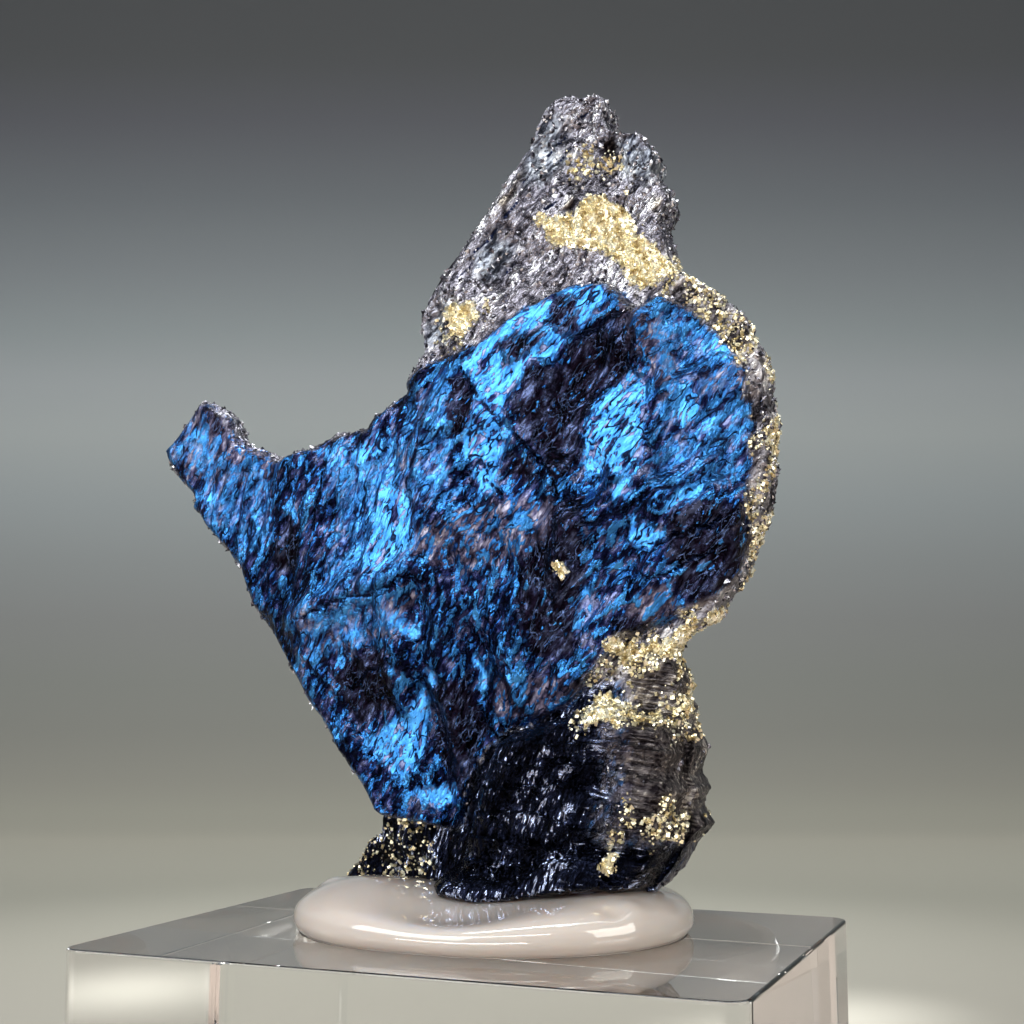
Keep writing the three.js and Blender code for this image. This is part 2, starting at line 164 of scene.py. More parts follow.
def sweep_profile(t):
    """Distance behind the block and height for t from 0 to 1: flat, a quarter circle, a wall."""
    flat = SWEEP["wall"] - SWEEP["bend"] - SWEEP["front"]
    arc = SWEEP["bend"] * math.pi / 2
    wall = SWEEP["top"] - SWEEP["bend"]
    run = t * (flat + arc + wall)
    turn = np.clip((run - flat) / SWEEP["bend"], 0, math.pi / 2)
    back = SWEEP["front"] + np.minimum(run, flat) + SWEEP["bend"] * np.sin(turn)
    height = SWEEP["bend"] * (1 - np.cos(turn)) + np.maximum(0, run - flat - arc)
    return back, height - SWEEP_BELOW


def paper_material():
    material, tree, shader = new_material("studio_paper")
    along = node(tree, "ShaderNodeAttribute", attribute_name="along")
    # the ramp paints two soft bands of light into the paper's own colour
    tree.links.new(ramp(tree, along.outputs["Fac"], WALL_TONES_AND_PAINTED_LIGHT), shader.inputs["Base Color"])
    shader.inputs["Roughness"].default_value = 0.9
    shader.inputs["Specular IOR Level"].default_value = 0.1
    return material


SHEET_ROWS, SHEET_COLUMNS = 121, 9
steps = np.linspace(0, 1, SHEET_ROWS)
sides = np.linspace(-SWEEP["half_width"], SWEEP["half_width"], SHEET_COLUMNS)
back, height = sweep_profile(steps)
across = np.array([math.cos(HEADING), math.sin(HEADING)])
away = np.array([-math.sin(HEADING), math.cos(HEADING)])
ground = sides[None, :, None] * across + back[:, None, None] * away
rise = np.broadcast_to(height[:, None, None], (SHEET_ROWS, SHEET_COLUMNS, 1))
sheet = np.concatenate([ground, rise], axis=2)
first = (np.arange(SHEET_ROWS - 1)[:, None] * SHEET_COLUMNS + np.arange(SHEET_COLUMNS - 1)).ravel()
sweep = make_mesh(
    "studio_sweep",
    sheet.reshape(-1, 3),
    np.stack([first, first + 1, first + SHEET_COLUMNS + 1, first + SHEET_COLUMNS], axis=1),
    paper_material(),
    smooth=True,
)
along = sweep.data.attributes.new("along", "FLOAT", "POINT")
along.data.foreach_set("value", np.repeat(steps, SHEET_COLUMNS).astype(np.float32))

# %% [markdown]
# ## The lights
# A large soft light stands in front on the left and high up: every facet that leans back a little
# mirrors it and turns bright azure, and the rest stays navy. A warm light on the right catches
# the rim, three long strips draw the thin lines along the putty, and two spots lay soft pools of
# light on the paper behind the block.

# %% Lights
LIGHTS = [
    # [name, direction from the specimen, distance, width, height, brightness, colour]
    ("key", (-0.46, -0.74, 0.50), 230, 190, 150, 3.0, (1.0, 0.99, 0.97)),
    ("rim", (0.95, -0.10, 0.30), 200, 120, 120, 3.2, (1.0, 0.95, 0.86)),
    ("top", (0.10, 0.35, 1.00), 200, 160, 120, 2.6, (0.98, 0.99, 1.0)),
    ("high strip", (0.00, 0.06, 1.00), 200, 150, 24, 9.0, (1.0, 0.99, 0.97)),
    ("middle strip", (0.00, -0.75, 0.66), 220, 340, 20, 8.0, (1.0, 0.99, 0.97)),
    ("low strip", (0.00, -1.00, -0.06), 220, 300, 14, 9.0, (1.0, 0.99, 0.97)),
]
SPECIMEN_CENTRE = Vector((0, 0, 32))


def soft_light(name, direction, distance, width, height, brightness, colour):
    """An area lamp of the given brightness: its power is brightness times pi times its area."""
    lamp = bpy.data.lights.new(name, "AREA")
    lamp.shape = "RECTANGLE"
    lamp.size = width * MM
    lamp.size_y = height * MM
    lamp.energy = brightness * math.pi * lamp.size * lamp.size_y
    lamp.color = colour
    obj = bpy.data.objects.new(name, lamp)
    way = Vector(direction).normalized()
    obj.location = (SPECIMEN_CENTRE + way * distance) * MM
    obj.rotation_euler = way.to_track_quat("Z", "Y").to_euler()
    bpy.context.scene.collection.objects.link(obj)


for light in LIGHTS:
    soft_light(*light)
world = bpy.data.worlds.new("studio_air")
world.use_nodes = True
world.node_tree.nodes["Background"].inputs["Color"].default_value = (0.2, 0.21, 0.22, 1)
bpy.context.scene.world = world
bpy.context.scene.view_settings.view_transform = "Standard"

# Two soft pools of light fall on the paper behind the block, from above and behind. The small one
# is what the block's front face shows at its left end, mirrored by the block's left side.
POOLS = [
    # [name, place, aim, energy, width in degrees]
    ("wide pool", (-60, 160, 260), (-20, 40, 0), 1.15, 32),
    ("small pool", (70, 160, 240), (10, 42, 0), 5.0, 4.4),
]
POOL_LAMP_RADIUS = 6
for name, place, aim, energy, degrees in POOLS:
    pool = bpy.data.lights.new(name, "SPOT")
    pool.energy = energy
    pool.spot_size = math.radians(degrees)
    pool.spot_blend = 1.0
    pool.shadow_soft_size = POOL_LAMP_RADIUS * MM
    lamp = bpy.data.objects.new(name, pool)
    lamp.location = Vector(place) * MM
    lamp.rotation_euler = (Vector(aim) - Vector(place)).to_track_quat("-Z", "Y").to_euler()
    bpy.context.scene.collection.objects.link(lamp)
print(len(LIGHTS) + len(POOLS), "lamps")

# %% [markdown]
# ## The specimen's outline and layers
# Seen from the front, the specimen is a flat outline. Behind the blue blade lies a slab with the
# spire and the rim, and in front of it the dark block and its foot ledge. The same outlines and
# heights are the solid's, so the surface stays where the solid is.

# %% Outlines
OUTLINE = [
    # the foot ledge and the underside of the dark block
    (-2.4, 14.6), (-1.6, 13.6), (0.9, 13.3), (3.0, 13.6), (6.1, 14.1), (8.0, 14.3), (9.4, 14.4),
    # the dark block's stepped right side, up to the neck
    (10.6, 15.7), (11.3, 17.0), (12.1, 17.8), (11.6, 18.8), (12.1, 19.7), (11.6, 20.7),
    (11.9, 21.8), (11.1, 23.2), (11.4, 24.0), (10.9, 24.5), (11.2, 25.1), (10.3, 26.8),
    # the round lobe with its pyrite rim
    (11.0, 27.8), (12.8, 28.7), (14.3, 31.0), (15.3, 33.4), (15.8, 35.7), (15.7, 37.2),
    (16.0, 38.6), (15.7, 41.8), (14.5, 44.3), (12.7, 46.1), (10.9, 47.2),
    # the right side of the spire
    (10.3, 49.2), (10.0, 50.2), (10.6, 51.1), (10.1, 52.3), (9.7, 53.2), (9.8, 53.8),
    (9.4, 54.5), (8.8, 55.1), (7.6, 55.4), (6.9, 56.3), (7.0, 57.2), (6.6, 57.6), (5.4, 57.8),
    (4.2, 57.9), (3.6, 57.4),
    # the straight left side of the spire
    (3.2, 56.4), (2.6, 55.2), (1.9, 54.4), (0.4, 52.3), (-0.6, 50.9), (-3.3, 47.5),
    (-4.0, 46.2), (-3.8, 44.0),
    # the shoulder and the notch
    (-5.0, 42.3), (-4.9, 41.7), (-7.0, 40.6), (-7.6, 39.8), (-9.4, 39.6), (-10.8, 39.0),
    (-13.1, 38.4), (-15.0, 39.0),
    # the horn
    (-16.1, 39.8), (-16.6, 41.0), (-17.4, 41.7), (-18.5, 42.1), (-19.2, 41.2), (-20.9, 39.2),
    (-20.3, 38.0), (-18.9, 36.4), (-19.0, 35.6), (-17.6, 34.2), (-15.7, 32.0),
    # the long thin left edge
    (-14.7, 29.8), (-12.9, 27.2), (-10.7, 23.8), (-9.2, 21.7), (-6.1, 18.0),
    # the lump of pyrite matrix at the left foot
    (-6.6, 17.0), (-9.3, 14.2), (-8.6, 13.3), (-4.6, 13.2),
]
# The blade's own lower and right border; from the shoulder on it follows the outline.
BLADE = [
    (-5.6, 17.8), (-2.7, 17.4), (-1.5, 17.3), (-0.9, 18.7), (0.3, 21.6), (1.9, 22.7),
    (4.9, 23.9), (6.9, 25.9), (8.3, 27.5), (10.6, 28.4), (13.2, 29.6), (14.6, 31.6),
    (14.9, 34.4), (15.2, 38.0), (15.0, 41.4), (13.7, 43.4), (12.1, 45.0), (10.4, 45.9),
    (9.0, 45.2), (7.5, 46.8), (5.2, 47.0), (2.5, 45.8), (-0.2, 44.1), (-3.0, 43.3),
] + OUTLINE[OUTLINE.index((-5.0, 42.3)):OUTLINE.index((-6.1, 18.0)) + 1]
DARK_BLOCK = [
    (-0.9, 15.4), (0.0, 18.4), (0.6, 20.6), (1.2, 22.0), (2.4, 22.7), (5.5, 23.6), (7.1, 24.2),
    (9.4, 23.5), (10.8, 23.2), (11.4, 21.6), (11.1, 20.7), (11.6, 19.7), (11.1, 18.8),
    (11.6, 17.8), (10.9, 16.6), (9.6, 14.8), (8.0, 14.1), (3.0, 13.4), (0.0, 13.3),
]
FOOT_LEDGE = [
    (-2.4, 14.6), (-1.6, 13.6), (0.9, 13.3), (3.0, 13.6), (6.1, 14.1), (8.0, 14.4), (8.2, 16.8),
    (6.7, 17.0), (4.2, 16.6), (3.0, 15.5), (0.8, 15.4), (-1.5, 15.3),
]
print("the outline has", len(OUTLINE), "points")


# %% [markdown]
# ## Distance to an outline
# Shoulders, rims and colours all depend on how far a point lies inside a border. The signed
# distance is the distance to the nearest edge, negative inside, found for all points at once.

# %% Distance and blending functions
def smooth_step(low, high, value):
    """0 below low, 1 above high, and an S-shaped curve between them."""
    t = np.clip((value - low) / (high - low), 0, 1)
    return t * t * (3 - 2 * t)


def shoulder(inside, width):
    """A quarter circle from 0 at a border to 1 at the given width inside it."""
    return np.sqrt(1 - (1 - np.clip(inside / width, 0, 1)) ** 2)


def segment_distance(x, z, start, end):
    """Distance to a segment: the point is projected on it and held between its ends."""
    run, rise = end[0] - start[0], end[1] - start[1]
    t = np.clip(((x - start[0]) * run + (z - start[1]) * rise) / (run**2 + rise**2), 0, 1)
    return np.hypot(x - start[0] - t * run, z - start[1] - t * rise)


def signed_distance(x, z, outline):
    """Least distance to the outline's segments; the sign comes from counting crossings."""
    nearest = np.full(x.shape, np.inf)
    inside = np.zeros(x.shape, bool)
    for start, end in zip(outline, outline[1:] + outline[:1]):
        nearest = np.minimum(nearest, segment_distance(x, z, start, end))
        if start[1] != end[1]:
            level = (z - start[1]) / (end[1] - start[1])
            crosses = (start[1] > z) != (end[1] > z)
            inside ^= crosses & (x < start[0] + level * (end[0] - start[0]))
    return np.where(inside, -nearest, nearest)


# %% [markdown]
# ## Crumpled relief
# The blade looks like crumpled foil: flat little faces that meet in sharp creases, longer than
# wide, and leaning the same way in each region. Random heights on a lattice of triangles give
# exactly that, and stretching the lattice along an angle gives the lean.

# %% Crumple and its regions
def cell_number(i, j, seed):
    """A repeatable number from 0 to 1 for a whole-numbered cell: the tail of a large sine."""
    s = np.sin(i * 127.1 + j * 311.7 + seed * 74.7) * 43758.5453
    return s - np.floor(s)


def crumple(x, z, size, stretch, angle, height, seed):
    """Straight-line blend of three random corner heights on each triangle of the lattice."""
    c, s = math.cos(angle), math.sin(angle)
    u = (x * c + z * s) / (size * stretch)
    v = (-x * s + z * c) / size
    i, j = np.floor(u), np.floor(v)
    fu, fv = u - i, v - j
    near = cell_number(i, j, seed)
    far = cell_number(i + 1, j + 1, seed)
    right = cell_number(i + 1, j, seed)
    above = cell_number(i, j + 1, seed)
    lower = (1 - fu) * near + (fu - fv) * right + fv * far
    upper = (1 - fv) * near + (fv - fu) * above + fu * far
    return height * (2 * np.where(fu > fv, lower, upper) - 1)


FLOWS = [
    # [angle of the wrinkles in degrees, centre x, centre z, reach] for each region
    (68, -9.0, 34.5, 6.5), (54, 1.0, 38.5, 6.0), (42, 10.5, 37.0, 6.5), (112, -5.5, 22.5, 6.0),
    (100, 1.5, 29.0, 5.0), (48, 7.0, 29.0, 5.0),
]


FLOW_FALL = 2.2  # how fast a region's direction fades with distance
FLOW_SHARPNESS = 3  # more gives narrower blends between regions


def flow_weights(x, z):
    """How much each region's wrinkle direction counts at a point; the weights sum to 1."""
    falls = [
        np.exp(-FLOW_FALL * (((x - cx) ** 2 + (z - cz) ** 2) / reach**2))
        for _, cx, cz, reach in FLOWS
    ]
    weights = np.stack(falls) ** FLOW_SHARPNESS + 1e-9
    return weights / weights.sum(0)


def wrinkles(x, z, size, stretch, height, seed):
    """Crumple with each region's own direction, blended where regions meet."""
    total = np.zeros(x.shape)
    for weight, (degrees, *_) in zip(flow_weights(x, z), FLOWS):
        total += weight * crumple(x, z, size, stretch, math.radians(degrees), height, seed)
    return total


# %% [markdown]
# ## The heights of the layers
# The blade is a set of broad facets blended at their borders, with a few ridges across it. The
# dark block bulges forward in bands, and the foot ledge comes furthest forward.

# %% Heights in front of the middle surface
PLATE = {"middle": 1.6, "slab": 0.9, "back": 2.2}
EDGE = {"front": (0.4, 1.0), "back": (0.5, 1.9)}  # at the thin left and the thick right
FACET_SHARPNESS = 1.7
FACETS = [
    # [x, z, height, slope along x, slope along z] of each broad facet of the blade
    (2.5, 45.4, 1.7, 0.05, -0.26), (0.2, 40.8, 2.3, 0.06, -0.2), (4.9, 42.3, 1.8, -0.24, 0.16),
    (0.6, 37.0, 2.2, 0.04, -0.2),
    (4.0, 37.0, 1.9, -0.18, 0.1), (8.2, 39.6, 2.1, 0.02, -0.22), (9.6, 43.8, 1.7, -0.2, -0.05),
    (13.6, 42.8, 1.3, 0.02, -0.26), (12.4, 38.6, 1.9, -0.12, 0.05), (12.2, 31.8, 1.9, -0.1, 0.22),
    (7.0, 32.2, 2.2, -0.02, 0.1), (1.0, 31.0, 2.3, -0.05, 0.1), (3.6, 26.4, 2.0, -0.05, 0.12),
    (-2.2, 25.6, 1.9, -0.22, 0.04), (-6.8, 35.6, 1.7, 0.1, -0.16), (-8.0, 39.0, 1.4, 0.1, -0.22),
    (-12.4, 35.6, 1.5, 0.1, -0.02), (-12.8, 31.4, 1.5, 0.14, 0.08), (-9.0, 27.2, 1.9, 0.08, 0.2),
    (-5.8, 21.2, 1.5, 0.06, -0.2), (-17.6, 38.6, 1.2, 0.08, 0.0),
]
CREASES = [
    # [one end, other end, height, half width] of each ridge or valley across the blade
    ((-1.6, 43.4), (4.6, 36.6), 0.2, 0.8), ((4.6, 36.6), (5.2, 31.0), 0.5, 0.9),
    ((-11.6, 28.9), (-3.6, 31.4), 0.55, 0.9), ((9.2, 44.8), (11.0, 40.6), 0.5, 0.7),
    ((6.6, 33.4), (12.8, 36.2), 0.45, 0.8), ((-2.6, 31.0), (-1.0, 22.6), 0.5, 0.9),
    ((-3.4, 24.6), (-1.6, 17.6), -0.9, 1.0),
]
FINE_CRACKS = [
    # [one end, other end] of the thin straight cracks that the eye notices, on the blade
    ((-1.2, 42.9), (0.4, 40.6)), ((0.4, 40.6), (2.4, 38.6)), ((2.4, 38.6), (4.6, 36.2)),
    ((4.6, 36.2), (5.0, 31.0)), ((0.2, 37.5), (-1.4, 36.0)), ((0.2, 37.5), (1.6, 35.0)),
    ((0.2, 37.5), (-0.6, 35.2)), ((6.2, 38.6), (9.4, 41.2)), ((7.2, 36.6), (9.6, 40.2)),
    ((6.6, 33.4), (12.8, 36.2)), ((9.0, 32.0), (13.6, 33.6)), ((9.4, 30.2), (13.4, 32.0)),
    ((-11.6, 28.6), (-3.6, 31.0)), ((-9.6, 39.4), (-10.4, 33.0)), ((-3.2, 40.5), (-4.2, 36.0)),
    ((5.6, 43.8), (9.0, 45.0)), ((-8.0, 25.0), (-3.0, 27.6)), ((-2.4, 24.0), (-1.8, 18.4)),
    # and on the spire
    ((6.0, 56.3), (6.8, 57.0)), ((5.5, 56.6), (6.2, 57.0)), ((3.6, 54.7), (4.7, 55.8)),
    ((4.3, 54.2), (5.0, 54.9)), ((0.3, 50.3), (2.0, 52.2)), ((2.3, 53.1), (3.2, 54.0)),
    ((5.3, 52.6), (6.0, 53.3)), ((3.6, 51.4), (4.3, 51.8)), ((-0.7, 49.4), (0.4, 50.5)),
    ((1.2, 48.1), (1.8, 48.7)), ((7.4, 54.1), (8.6, 54.1)), ((10.5, 49.1), (11.4, 49.9)),
    ((9.5, 52.4), (10.0, 52.9)), ((-1.8, 48.1), (-0.9, 48.9)),
]
CRACK_HALF_WIDTH = 0.11
CRACK_DEPTH = 0.16


def edge_half(x, side):
    """Half thickness of the broken edge: a smooth step from the left value to the right one."""
    left, right = EDGE[side]
    return left + (right - left) * smooth_step(-13, 11, x)


def middle_surface(x, z):
    """Depth of the plate's middle: curled forward at the horn, further back at spire and lump."""
    curl = -0.004 * np.minimum(0, x + 8) ** 2
    lump = 1.2 * smooth_step(18.5, 14, z) * smooth_step(-2.5, -5, x)
    return PLATE["middle"] + curl + 0.4 * smooth_step(44, 57, z) + lump


def blade_face(x, z):
    """Facet planes weighted by nearness, plus creases, plus wrinkles of three sizes."""
    total = np.zeros(x.shape)
    weights = np.zeros(x.shape)
    for fx, fz, height, slope_x, slope_z in FACETS:
        weight = np.exp(-FACET_SHARPNESS * np.hypot(x - fx, z - fz))
        total += weight * (height + slope_x * (x - fx) + slope_z * (z - fz))
        weights += weight
    face = total / weights
    for start, end, height, half_width in CREASES:
        face += height * np.exp(-((segment_distance(x, z, start, end) / half_width) ** 2))
    film = patches(x, z, AZURE_FILM_AND_PAINTED_REFLECTION, 0.3, 0.35)
    face += (1 - 0.85 * film) * crumple(x, z, 2.1, 1.9, 1.0, 0.35, 3)
    small = wrinkles(x, z, 0.85, 2.3, 0.22, 5) + wrinkles(x, z, 0.4, 2.6, 0.13, 9)
    face += (1 - 0.4 * film) * small
    return face - CRACK_DEPTH * fine_cracks(x, z)


def fine_cracks(x, z):
    """1 on the thin cracks and 0 away from them; each wanders a little from its straight line."""
    wander = wrinkles(x, z, 0.7, 1.2, 0.2, 71)
    nearest = np.full(x.shape, 9.0)
    for start, end in FINE_CRACKS:
        nearest = np.minimum(nearest, segment_distance(x + wander, z - wander, start, end))
    return np.exp(-((nearest / CRACK_HALF_WIDTH) ** 2))


def dark_block_face(x, z):
    """A bulge with horizontal terraces: each terrace rises slowly and drops at a ledge."""
    bulge = 1 - ((x - 5) / 11) ** 2 - ((z - 18.5) / 9) ** 2
    wander = crumple(x, z, 2.3, 2.0, 0.2, 0.45, 21)
    saw = (z + 0.12 * x + wander) / 1.35
    terrace = 0.34 * (saw - np.floor(saw)) ** 1.5
    striae = crumple(x, z, 0.34, 3.5, 1.5, 0.08, 23)
    return 2.45 + 0.9 * bulge + crumple(x, z, 1.9, 1.7, 0.12, 0.4, 17) + terrace + striae


def foot_ledge_face(x, z):
    """Rounded lobes along x, with bands."""
    lobes = 0.25 * np.cos(x * 0.9) - 0.12 * np.maximum(0, x - 3)
    height = 4.1 + lobes + crumple(x, z, 1.9, 1.7, 0.12, 0.25, 17)
    return height + crumple(x, z, 0.5, 2.2, 0.1, 0.1, 27)


LAYERS = [
    # [border, width of the shoulder inside it, height of the face]
    (BLADE, 0.5, blade_face), (DARK_BLOCK, 1.1, dark_block_face),
    (FOOT_LEDGE, 0.9, foot_ledge_face),
]
SLAB_SHOULDER, FRONT_SHOULDER, BACK_SHOULDER = 1.4, 0.6, 2.2  # widths of the rounded borders


def front_height(x, z, inside):
    """The slab, raised to each layer in turn across the layer's shoulder."""
    edge = edge_half(x, "front")
    rubble = crumple(x, z, 1.9, 1.1, 0.4, 0.35, 11) + crumple(x, z, 0.7, 1.2, 1.2, 0.16, 13)
    slab = edge + (PLATE["slab"] + rubble - edge) * shoulder(inside, SLAB_SHOULDER)
    height = slab
    for border, width, face in LAYERS:
        within = -signed_distance(x, z, border)
        raised = slab + (face(x, z) - slab) * shoulder(within, width)
        height = np.where(within > 0, np.maximum(height, raised), height)
    return edge + (height - edge) * shoulder(inside, FRONT_SHOULDER)


def back_height(x, z, inside):
    """A rough broken face, thicker towards the foot."""
    edge = edge_half(x, "back")
    swell = PLATE["back"] + 0.9 * smooth_step(34, 18, z) * smooth_step(-9, 0, x)
    rough = crumple(x, z, 2.6, 1.2, 0.9, 0.5, 29) + crumple(x, z, 0.8, 1.3, 0.5, 0.18, 31)
    return edge + (np.maximum(swell + rough, 0.4) - edge) * shoulder(inside, BACK_SHOULDER)


# %% [markdown]
# ## Where the colours and the painted light lie
# The azure film, the dark tarnish, the brown dust, the grey crust and the pyrite lie in patches.
# The azure patches also carry the key light's painted reflection, the tarnish patches and the
# hollows painted shade, and the silver patches painted glints. Each patch is a short outline in
# millimetres, and a fine noise makes its border ragged. One function turns them into masks,
# which colour the plate and say where grains grow on it.

# %% Patches of film, tarnish, dust and pyrite, and of painted light and shade
AZURE_FILM_AND_PAINTED_REFLECTION = [
    # the strip along the top edge and the column below its left end
    [(-1.2, 42.9), (0.0, 43.9), (1.5, 45.0), (2.7, 46.1), (4.3, 46.8), (5.9, 47.1), (7.3, 46.8),
     (7.7, 46.1), (6.7, 45.0), (5.6, 43.9), (4.5, 42.4), (3.5, 42.6), (2.7, 41.2), (1.6, 40.1),
     (2.2, 38.8), (1.9, 37.8), (1.2, 36.9), (1.4, 35.8), (0.5, 35.1), (-0.1, 36.4), (-0.7, 37.8),
     (-0.8, 38.8), (0.0, 39.9), (0.2, 41.1), (-0.7, 42.3)],
    # the bright facet right of the fold
    [(8.7, 41.7), (9.9, 41.1), (10.0, 39.6), (9.8, 38.1), (9.6, 36.8), (8.5, 36.2), (6.9, 36.4),
     (6.1, 36.9), (6.2, 38.3), (6.5, 39.6), (7.2, 40.6), (8.2, 41.0)],
    # the left wing
    [(-6.0, 36.5), (-4.3, 36.1), (-3.6, 34.6), (-3.9, 32.6), (-5.3, 31.2), (-6.6, 31.5),
     (-6.6, 32.8), (-6.2, 34.0), (-6.3, 35.2)],
    [(-7.4, 39.2), (-6.2, 39.5), (-5.9, 38.0), (-7.6, 37.6)],
    [(-9.0, 38.8), (-8.2, 38.6), (-8.6, 37.2)],
    # the lower left
    [(-5.6, 22.9), (-4.2, 23.6), (-3.4, 25.1), (-2.8, 24.2), (-3.3, 22.8), (-3.6, 21.0),
     (-4.3, 19.9), (-5.6, 20.6), (-6.8, 21.8)],
    [(-3.4, 19.4), (-1.6, 19.7), (-1.4, 18.8), (-3.0, 18.6)],
    # small ones on the right and in the middle
    [(12.6, 44.0), (13.6, 44.4), (14.6, 43.2), (15.2, 42.2), (14.4, 41.9), (13.2, 42.4)],
    [(11.8, 41.4), (12.5, 40.6), (12.8, 39.4), (12.2, 38.2), (11.4, 38.6), (11.3, 40.2)],
    [(10.4, 34.6), (12.7, 35.4), (12.9, 35.0), (11.6, 34.0), (10.8, 33.8)],
    [(9.0, 34.0), (10.8, 33.2), (11.0, 32.6), (9.6, 32.2), (8.8, 32.6)],
    [(10.6, 31.2), (12.2, 31.5), (13.9, 31.3), (12.0, 30.8)],
    [(7.9, 35.6), (9.2, 35.9), (9.2, 35.0), (8.0, 34.6)],
    [(14.7, 37.9), (15.2, 37.9), (15.2, 36.9), (14.8, 36.9)],
    [(-0.2, 26.6), (0.3, 26.3), (0.6, 24.9), (0.2, 24.9)],
    [(-3.0, 25.9), (-2.4, 25.9), (-2.2, 25.0), (-2.9, 25.1)],
    [(-4.8, 28.8), (-3.4, 28.6), (-3.2, 27.8), (-4.2, 27.9)],
    [(5.2, 29.6), (6.4, 30.4), (6.9, 29.2), (6.2, 27.6), (5.4, 27.8)],
    [(-15.9, 34.0), (-15.3, 33.6), (-15.0, 32.8), (-15.5, 32.8)],
]
TARNISH_AND_PAINTED_SHADE = [
    # the dark hollow between the fold and the bright facet: tarnish, with the hollow's shade
    # painted in
    [(3.0, 42.2), (5.0, 42.2), (5.2, 43.2), (7.8, 45.1), (8.8, 44.7), (9.4, 42.6), (8.5, 41.5),
     (7.1, 40.7), (6.3, 39.4), (6.0, 37.5), (5.1, 36.0), (4.2, 35.6), (3.9, 37.3), (2.7, 39.1),
     (2.1, 40.4), (3.0, 41.3)],
    [(1.8, 43.1), (3.2, 44.2), (4.3, 44.2), (3.8, 43.4), (2.6, 42.8)],
    [(4.5, 46.2), (5.2, 46.4), (5.2, 45.6), (4.6, 45.2)],
    [(1.5, 43.6), (2.4, 44.1), (3.9, 44.3), (4.1, 43.7), (3.3, 43.1), (2.0, 42.6)],
    [(4.2, 44.7), (4.6, 45.9), (5.0, 46.4), (5.7, 45.8), (5.8, 44.4), (5.1, 43.9)],
    [(-1.6, 42.0), (-0.4, 42.0), (-0.1, 40.6), (-0.4, 39.2), (-1.2, 38.8), (-1.6, 40.2)],
    # the black facet at the lower right: tarnish, with the painted shade of a facet turned from the
    # light
    [(11.0, 34.0), (13.0, 34.6), (14.6, 34.0), (14.9, 32.4), (14.6, 30.6), (13.0, 29.2),
     (11.4, 29.6), (10.8, 31.8)],
    [(2.2, 37.6), (3.6, 37.0), (3.4, 35.8), (1.9, 36.4)],
    [(4.2, 35.0), (6.2, 35.0), (6.4, 31.0), (5.4, 26.6), (3.4, 26.6), (2.4, 29.8), (3.4, 32.4)],
    [(-3.2, 24.6), (-0.6, 25.6), (0.2, 22.6), (-0.8, 19.4), (-2.6, 20.6)],
    [(-12.9, 33.6), (-11.9, 34.6), (-11.0, 33.0), (-11.6, 31.6), (-12.8, 31.8)],
    [(-17.6, 41.8), (-16.6, 41.6), (-16.1, 40.4), (-16.8, 39.8), (-17.8, 40.4)],
    [(-9.0, 25.6), (-7.0, 27.0), (-5.4, 26.8), (-5.0, 24.2), (-7.4, 22.8)],
    [(7.6, 28.4), (9.4, 29.0), (9.8, 27.9), (8.4, 27.2)],
]
DUST = [
    # the smooth brown ridge under the neck of the spire
    [(7.8, 47.0), (8.6, 46.9), (9.6, 45.4), (10.6, 43.5), (11.6, 41.6), (11.5, 40.3), (10.6, 40.2),
     (10.0, 41.4), (9.3, 43.2), (8.4, 45.2)],
    [(-1.0, 34.6), (1.5, 35.0), (4.6, 34.9), (4.8, 33.4), (3.4, 32.4), (1.2, 31.6), (-1.5, 31.4),
     (-3.6, 32.4), (-3.4, 33.6)],
    # the pinkish ridge across the left wing
    [(-10.2, 28.6), (-8.0, 28.1), (-6.0, 28.6), (-4.0, 30.4), (-3.4, 30.0), (-4.8, 28.4),
     (-7.0, 27.0), (-9.8, 26.6), (-10.6, 27.4)],
    [(-20.2, 39.2), (-18.6, 41.6), (-17.2, 41.2), (-15.6, 39.2), (-12.6, 38.2), (-12.4, 37.4),
     (-14.4, 37.0), (-17.4, 37.0), (-19.4, 37.6)],
    [(-4.8, 38.2), (-3.2, 38.0), (-3.4, 37.2), (-5.0, 37.2)],
    [(12.6, 41.6), (15.4, 41.8), (15.4, 40.6), (13.0, 40.4)],
    [(9.6, 30.4), (11.4, 29.4), (12.8, 28.9), (10.4, 28.2), (8.2, 28.6)],
    [(-11.4, 29.4), (-9.4, 29.4), (-9.0, 28.4), (-10.8, 28.2)],
    [(1.2, 25.0), (4.6, 25.4), (6.8, 25.2), (5.4, 23.9), (2.2, 23.0), (0.8, 23.6)],
]
PYRITE = [
    # the solid patch on the spire, running down into the rim
    [(6.2, 51.9), (7.2, 51.9), (8.6, 50.5), (9.5, 48.9), (10.6, 47.9), (11.2, 47.0), (10.0, 46.4),
     (8.6, 46.9), (7.7, 48.3), (6.5, 49.0), (4.2, 49.5), (3.2, 50.9), (4.5, 51.0), (5.6, 50.9)],
    [(-2.4, 46.4), (-0.6, 46.6), (-0.6, 45.6), (-1.4, 44.6), (-2.0, 45.2)],
    # veins across the neck and the dark block
    [(7.4, 27.2), (9.0, 26.8), (11.0, 28.0), (13.4, 28.8), (11.2, 27.6), (10.0, 25.9), (8.2, 25.6)],
    [(6.4, 24.8), (7.5, 24.4), (9.2, 23.4), (10.4, 24.1), (11.6, 25.0), (12.2, 24.2), (10.6, 22.8),
     (9.0, 22.9), (6.6, 23.3), (6.2, 24.0)],
    [(8.6, 18.9), (10.0, 18.5), (11.2, 18.4), (11.0, 17.6), (9.6, 17.6), (8.8, 18.2)],
    [(7.7, 16.6), (8.5, 16.4), (8.2, 15.6), (7.6, 15.6)],
    [(4.9, 31.6), (5.3, 31.5), (5.4, 30.9), (5.0, 30.8)],
]
